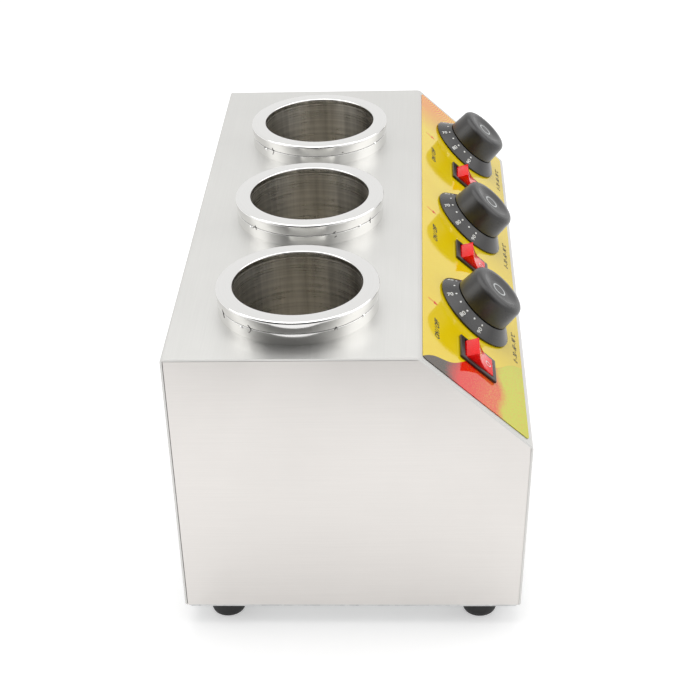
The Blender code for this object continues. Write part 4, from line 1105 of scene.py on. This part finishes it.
def makeGland():
    centre = middleOf("cord_gland")
    face = gland["flange"] + gland["gap"]
    section = rounded((
        (gland["flangeRadius"], face, 1.0 * mm),
        (gland["flangeRadius"], gland["gap"], 0.2 * mm),
        (gland["neckRadius"], gland["gap"], 0),
        (gland["neckRadius"], -gland["tail"], 0.3 * mm),
        (gland["boreRadius"], -gland["tail"], 0),
        (gland["boreRadius"], face, 0.5 * mm)), 5)
    piece = lathe("cordGland", section, gland["steps"])
    moved(piece, Matrix.Translation((centre.x, casingHigh.y, centre.z)) @ Matrix.Rotation(-math.pi / 2, 4, "X"))
    smooth(piece, 35)
    install(piece, glandPlastic, node="cord_gland")


makeFeet()
makeGland()
print("topping warmer: feet and gland made")

# printed marks on the film, in millimetres along it and down it

prints = {
    "thickness": 0.05 * mm,
    "filmTop": 0.40 * mm,
    "arrow": {"tail": (77.2, 6.6), "head": (76.5, 14.6), "width": 0.6, "headWidth": 3.4, "headLength": 3.2},
    "words": (
        {"name": "onOffWords", "words": "ON / OFF", "at": (47.0, 13.6), "size": 5.0, "slant": 0.35, "weight": 0.16},
        {"name": "rangeWords", "words": "0 - 30 - 60 - 90 °C", "at": (100.0, 79.8), "size": 4.6, "slant": 0.35,
         "weight": 0.10},
    ),
}


def onFilm(along, down, height=0.0):
    return slopeFrame @ Matrix.Translation((along * mm, -down * mm, prints["filmTop"] + height))


# the arrow's outline is drawn, filled and given its thickness
def makeArrow():
    arrow = prints["arrow"]
    tail, head = Vector(arrow["tail"]), Vector(arrow["head"])
    way = (head - tail).normalized()
    neck = head - way * arrow["headLength"]
    side = Vector((-way.y, way.x))
    thin, wide = arrow["width"] / 2, arrow["headWidth"] / 2
    outline = []
    for along, out in ((tail, thin), (neck, thin), (neck, wide), (head, 0), (neck, -wide), (neck, -thin),
                       (tail, -thin)):
        at = (along + side * out) * mm
        outline.append((at.x, -at.y, 0))
    return slab("arrowMaster", outline, 0, 0, prints["thickness"])


def makePrints():
    thick = prints["thickness"]
    masters = [(makeArrow(), "indexArrow", (0, 0), 0.0, arrowInk)]
    for line in prints["words"]:
        words = lettering(line["name"] + "Master", line["words"], line["size"] * mm, thick, line["slant"],
                          line["weight"] * mm)
        masters.append((words, line["name"], line["at"], thick / 2, printInk))
    for index, number in enumerate(wells):
        for master, pieceName, (along, down), height, ink in masters:
            at = onFilm(along + index * wellPitch / mm, down, height)
            install(copied(master, pieceName + number, at), ink)
    discard(*(master[0] for master in masters))


makePrints()
print("topping warmer: printed marks made")

# floor, light and camera

stage = {
    "floorSize": 9.0, "floorColour": (0.80, 0.80, 0.80), "floorLift": 0.40,
    # a dark curved card on the camera's side, seen only in reflections
    "cardRadius": 0.42, "cardLow": 0.22, "cardHigh": 1.00, "cardSoft": 0.06, "cardTone": 0.01,
    "cardAzimuth": 173, "cardHalfWidth": 72, "cardFull": 36, "cardSteps": 32,
}
# the room: white where it is seen or reflected, and a softer fill
room = {"seen": 1.0, "fill": 0.52}
lampTarget = Vector((0, 0, 0.1))
lamps = {
    "softTop": {"at": (0.15, 0.15, 1.8), "size": 2.0, "watts": 14},
    "softFront": {"at": (0.1, -1.9, 1.5), "size": 2.2, "watts": 14},
    "softBack": {"at": (-0.2, 1.7, 1.2), "size": 1.2, "watts": 4},
}
# fitted to the photograph
view = {
    "at": (-0.95138, -0.04336, 0.65140), "right": (0.03697, -0.99887, -0.02999), "up": (0.51588, -0.00663, 0.85664),
    "lens": 81.86, "sensor": 36, "near": 0.01, "far": 30,
}


# one for what the camera, a reflection or a clear piece shows, and nothing for the light it gives
def seenShare(material):
    rays = node(material, "LightPath").outputs
    seen = sums(material, "MAXIMUM", rays["Is Camera Ray"], rays["Is Glossy Ray"])
    return sums(material, "MAXIMUM", seen, rays["Is Transmission Ray"])


def makeFloor():
    bpy.ops.mesh.primitive_plane_add(size=stage["floorSize"], location=(0, 0, 0))
    floor = bpy.context.object
    floor.name = "floor"
    material = newMaterial("pale floor", colour=stage["floorColour"], roughness=0.9, specular=0.0,
                           glowColour=(1.0, 1.0, 1.0))
    paint(material, "Emission Strength", times(material, seenShare(material), stage["floorLift"]))
    floor.data.materials.append(material)


def makeCard():
    azimuth, halfWidth, fullWidth = (math.radians(stage[name]) for name in ("cardAzimuth", "cardHalfWidth", "cardFull"))
    low, high = stage["cardLow"], stage["cardHigh"]
    start = Vector((stage["cardRadius"], 0, low))
    start.rotate(Matrix.Rotation(azimuth + halfWidth, 3, "Z"))
    card = drawLine("darkCard", [start, start + Vector((0, 0, high - low))])
    takeAll()
    bpy.ops.mesh.spin(steps=stage["cardSteps"], angle=2 * halfWidth, center=(0, 0, 0), axis=(0, 0, 1))
    endEdit()
    moved(card, above(ringCentre))
    material = newMaterial("dark card", colour=(0.02, 0.02, 0.02), roughness=1.0, glow=1.0,
                           glowColour=(stage["cardTone"],) * 3)
    # it fades out towards both sides and its lower edge
    spot = partsOf(material, place(material, (ringCentre.x, ringCentre.y, 0), (0, 0, azimuth)))
    aside = sums(material, "ABSOLUTE", sums(material, "ARCTAN2", spot[1], spot[0]))
    fade = spread(material, aside, 1, 0, fullWidth, halfWidth)
    paint(material, "Alpha", times(material, fade, spread(material, spot[2], 0, 1, low, low + stage["cardSoft"])))
    card.data.materials.append(material)
    card.visible_camera = card.visible_diffuse = card.visible_shadow = card.visible_transmission = False


def makeRoom():
    world = bpy.data.worlds.new("studio")
    bpy.context.scene.world = world
    world.use_nodes = True
    background = world.node_tree.nodes["Background"]
    wire(world, spread(world, seenShare(world), room["fill"], room["seen"]), background.inputs["Strength"])
    background.inputs["Color"].default_value = (1, 1, 1, 1)


def makeLamps():
    for name, lamp in lamps.items():
        bpy.ops.object.light_add(type="AREA", location=lamp["at"])
        light = bpy.context.object
        light.name = name
        light.data.shape = "DISK"
        light.data.size = lamp["size"]
        light.data.energy = lamp["watts"]
        light.rotation_euler = (lampTarget - light.location).to_track_quat("-Z", "Y").to_euler()


def makeCamera():
    bpy.ops.object.camera_add()
    camera = bpy.context.object
    right, up = Vector(view["right"]), Vector(view["up"])
    back = right.cross(up).normalized()
    turn = Matrix((right, back.cross(right), back)).transposed().to_4x4()
    camera.matrix_world = Matrix.Translation(view["at"]) @ turn
    camera.data.lens = view["lens"]
    camera.data.sensor_width = view["sensor"]
    camera.data.clip_start, camera.data.clip_end = view["near"], view["far"]
    bpy.context.scene.camera = camera


makeFloor()
makeCard()
makeRoom()
makeLamps()
makeCamera()
bpy.context.scene.view_settings.view_transform = "Standard"
bpy.ops.object.select_all(action="DESELECT")
print("topping warmer: stage set")
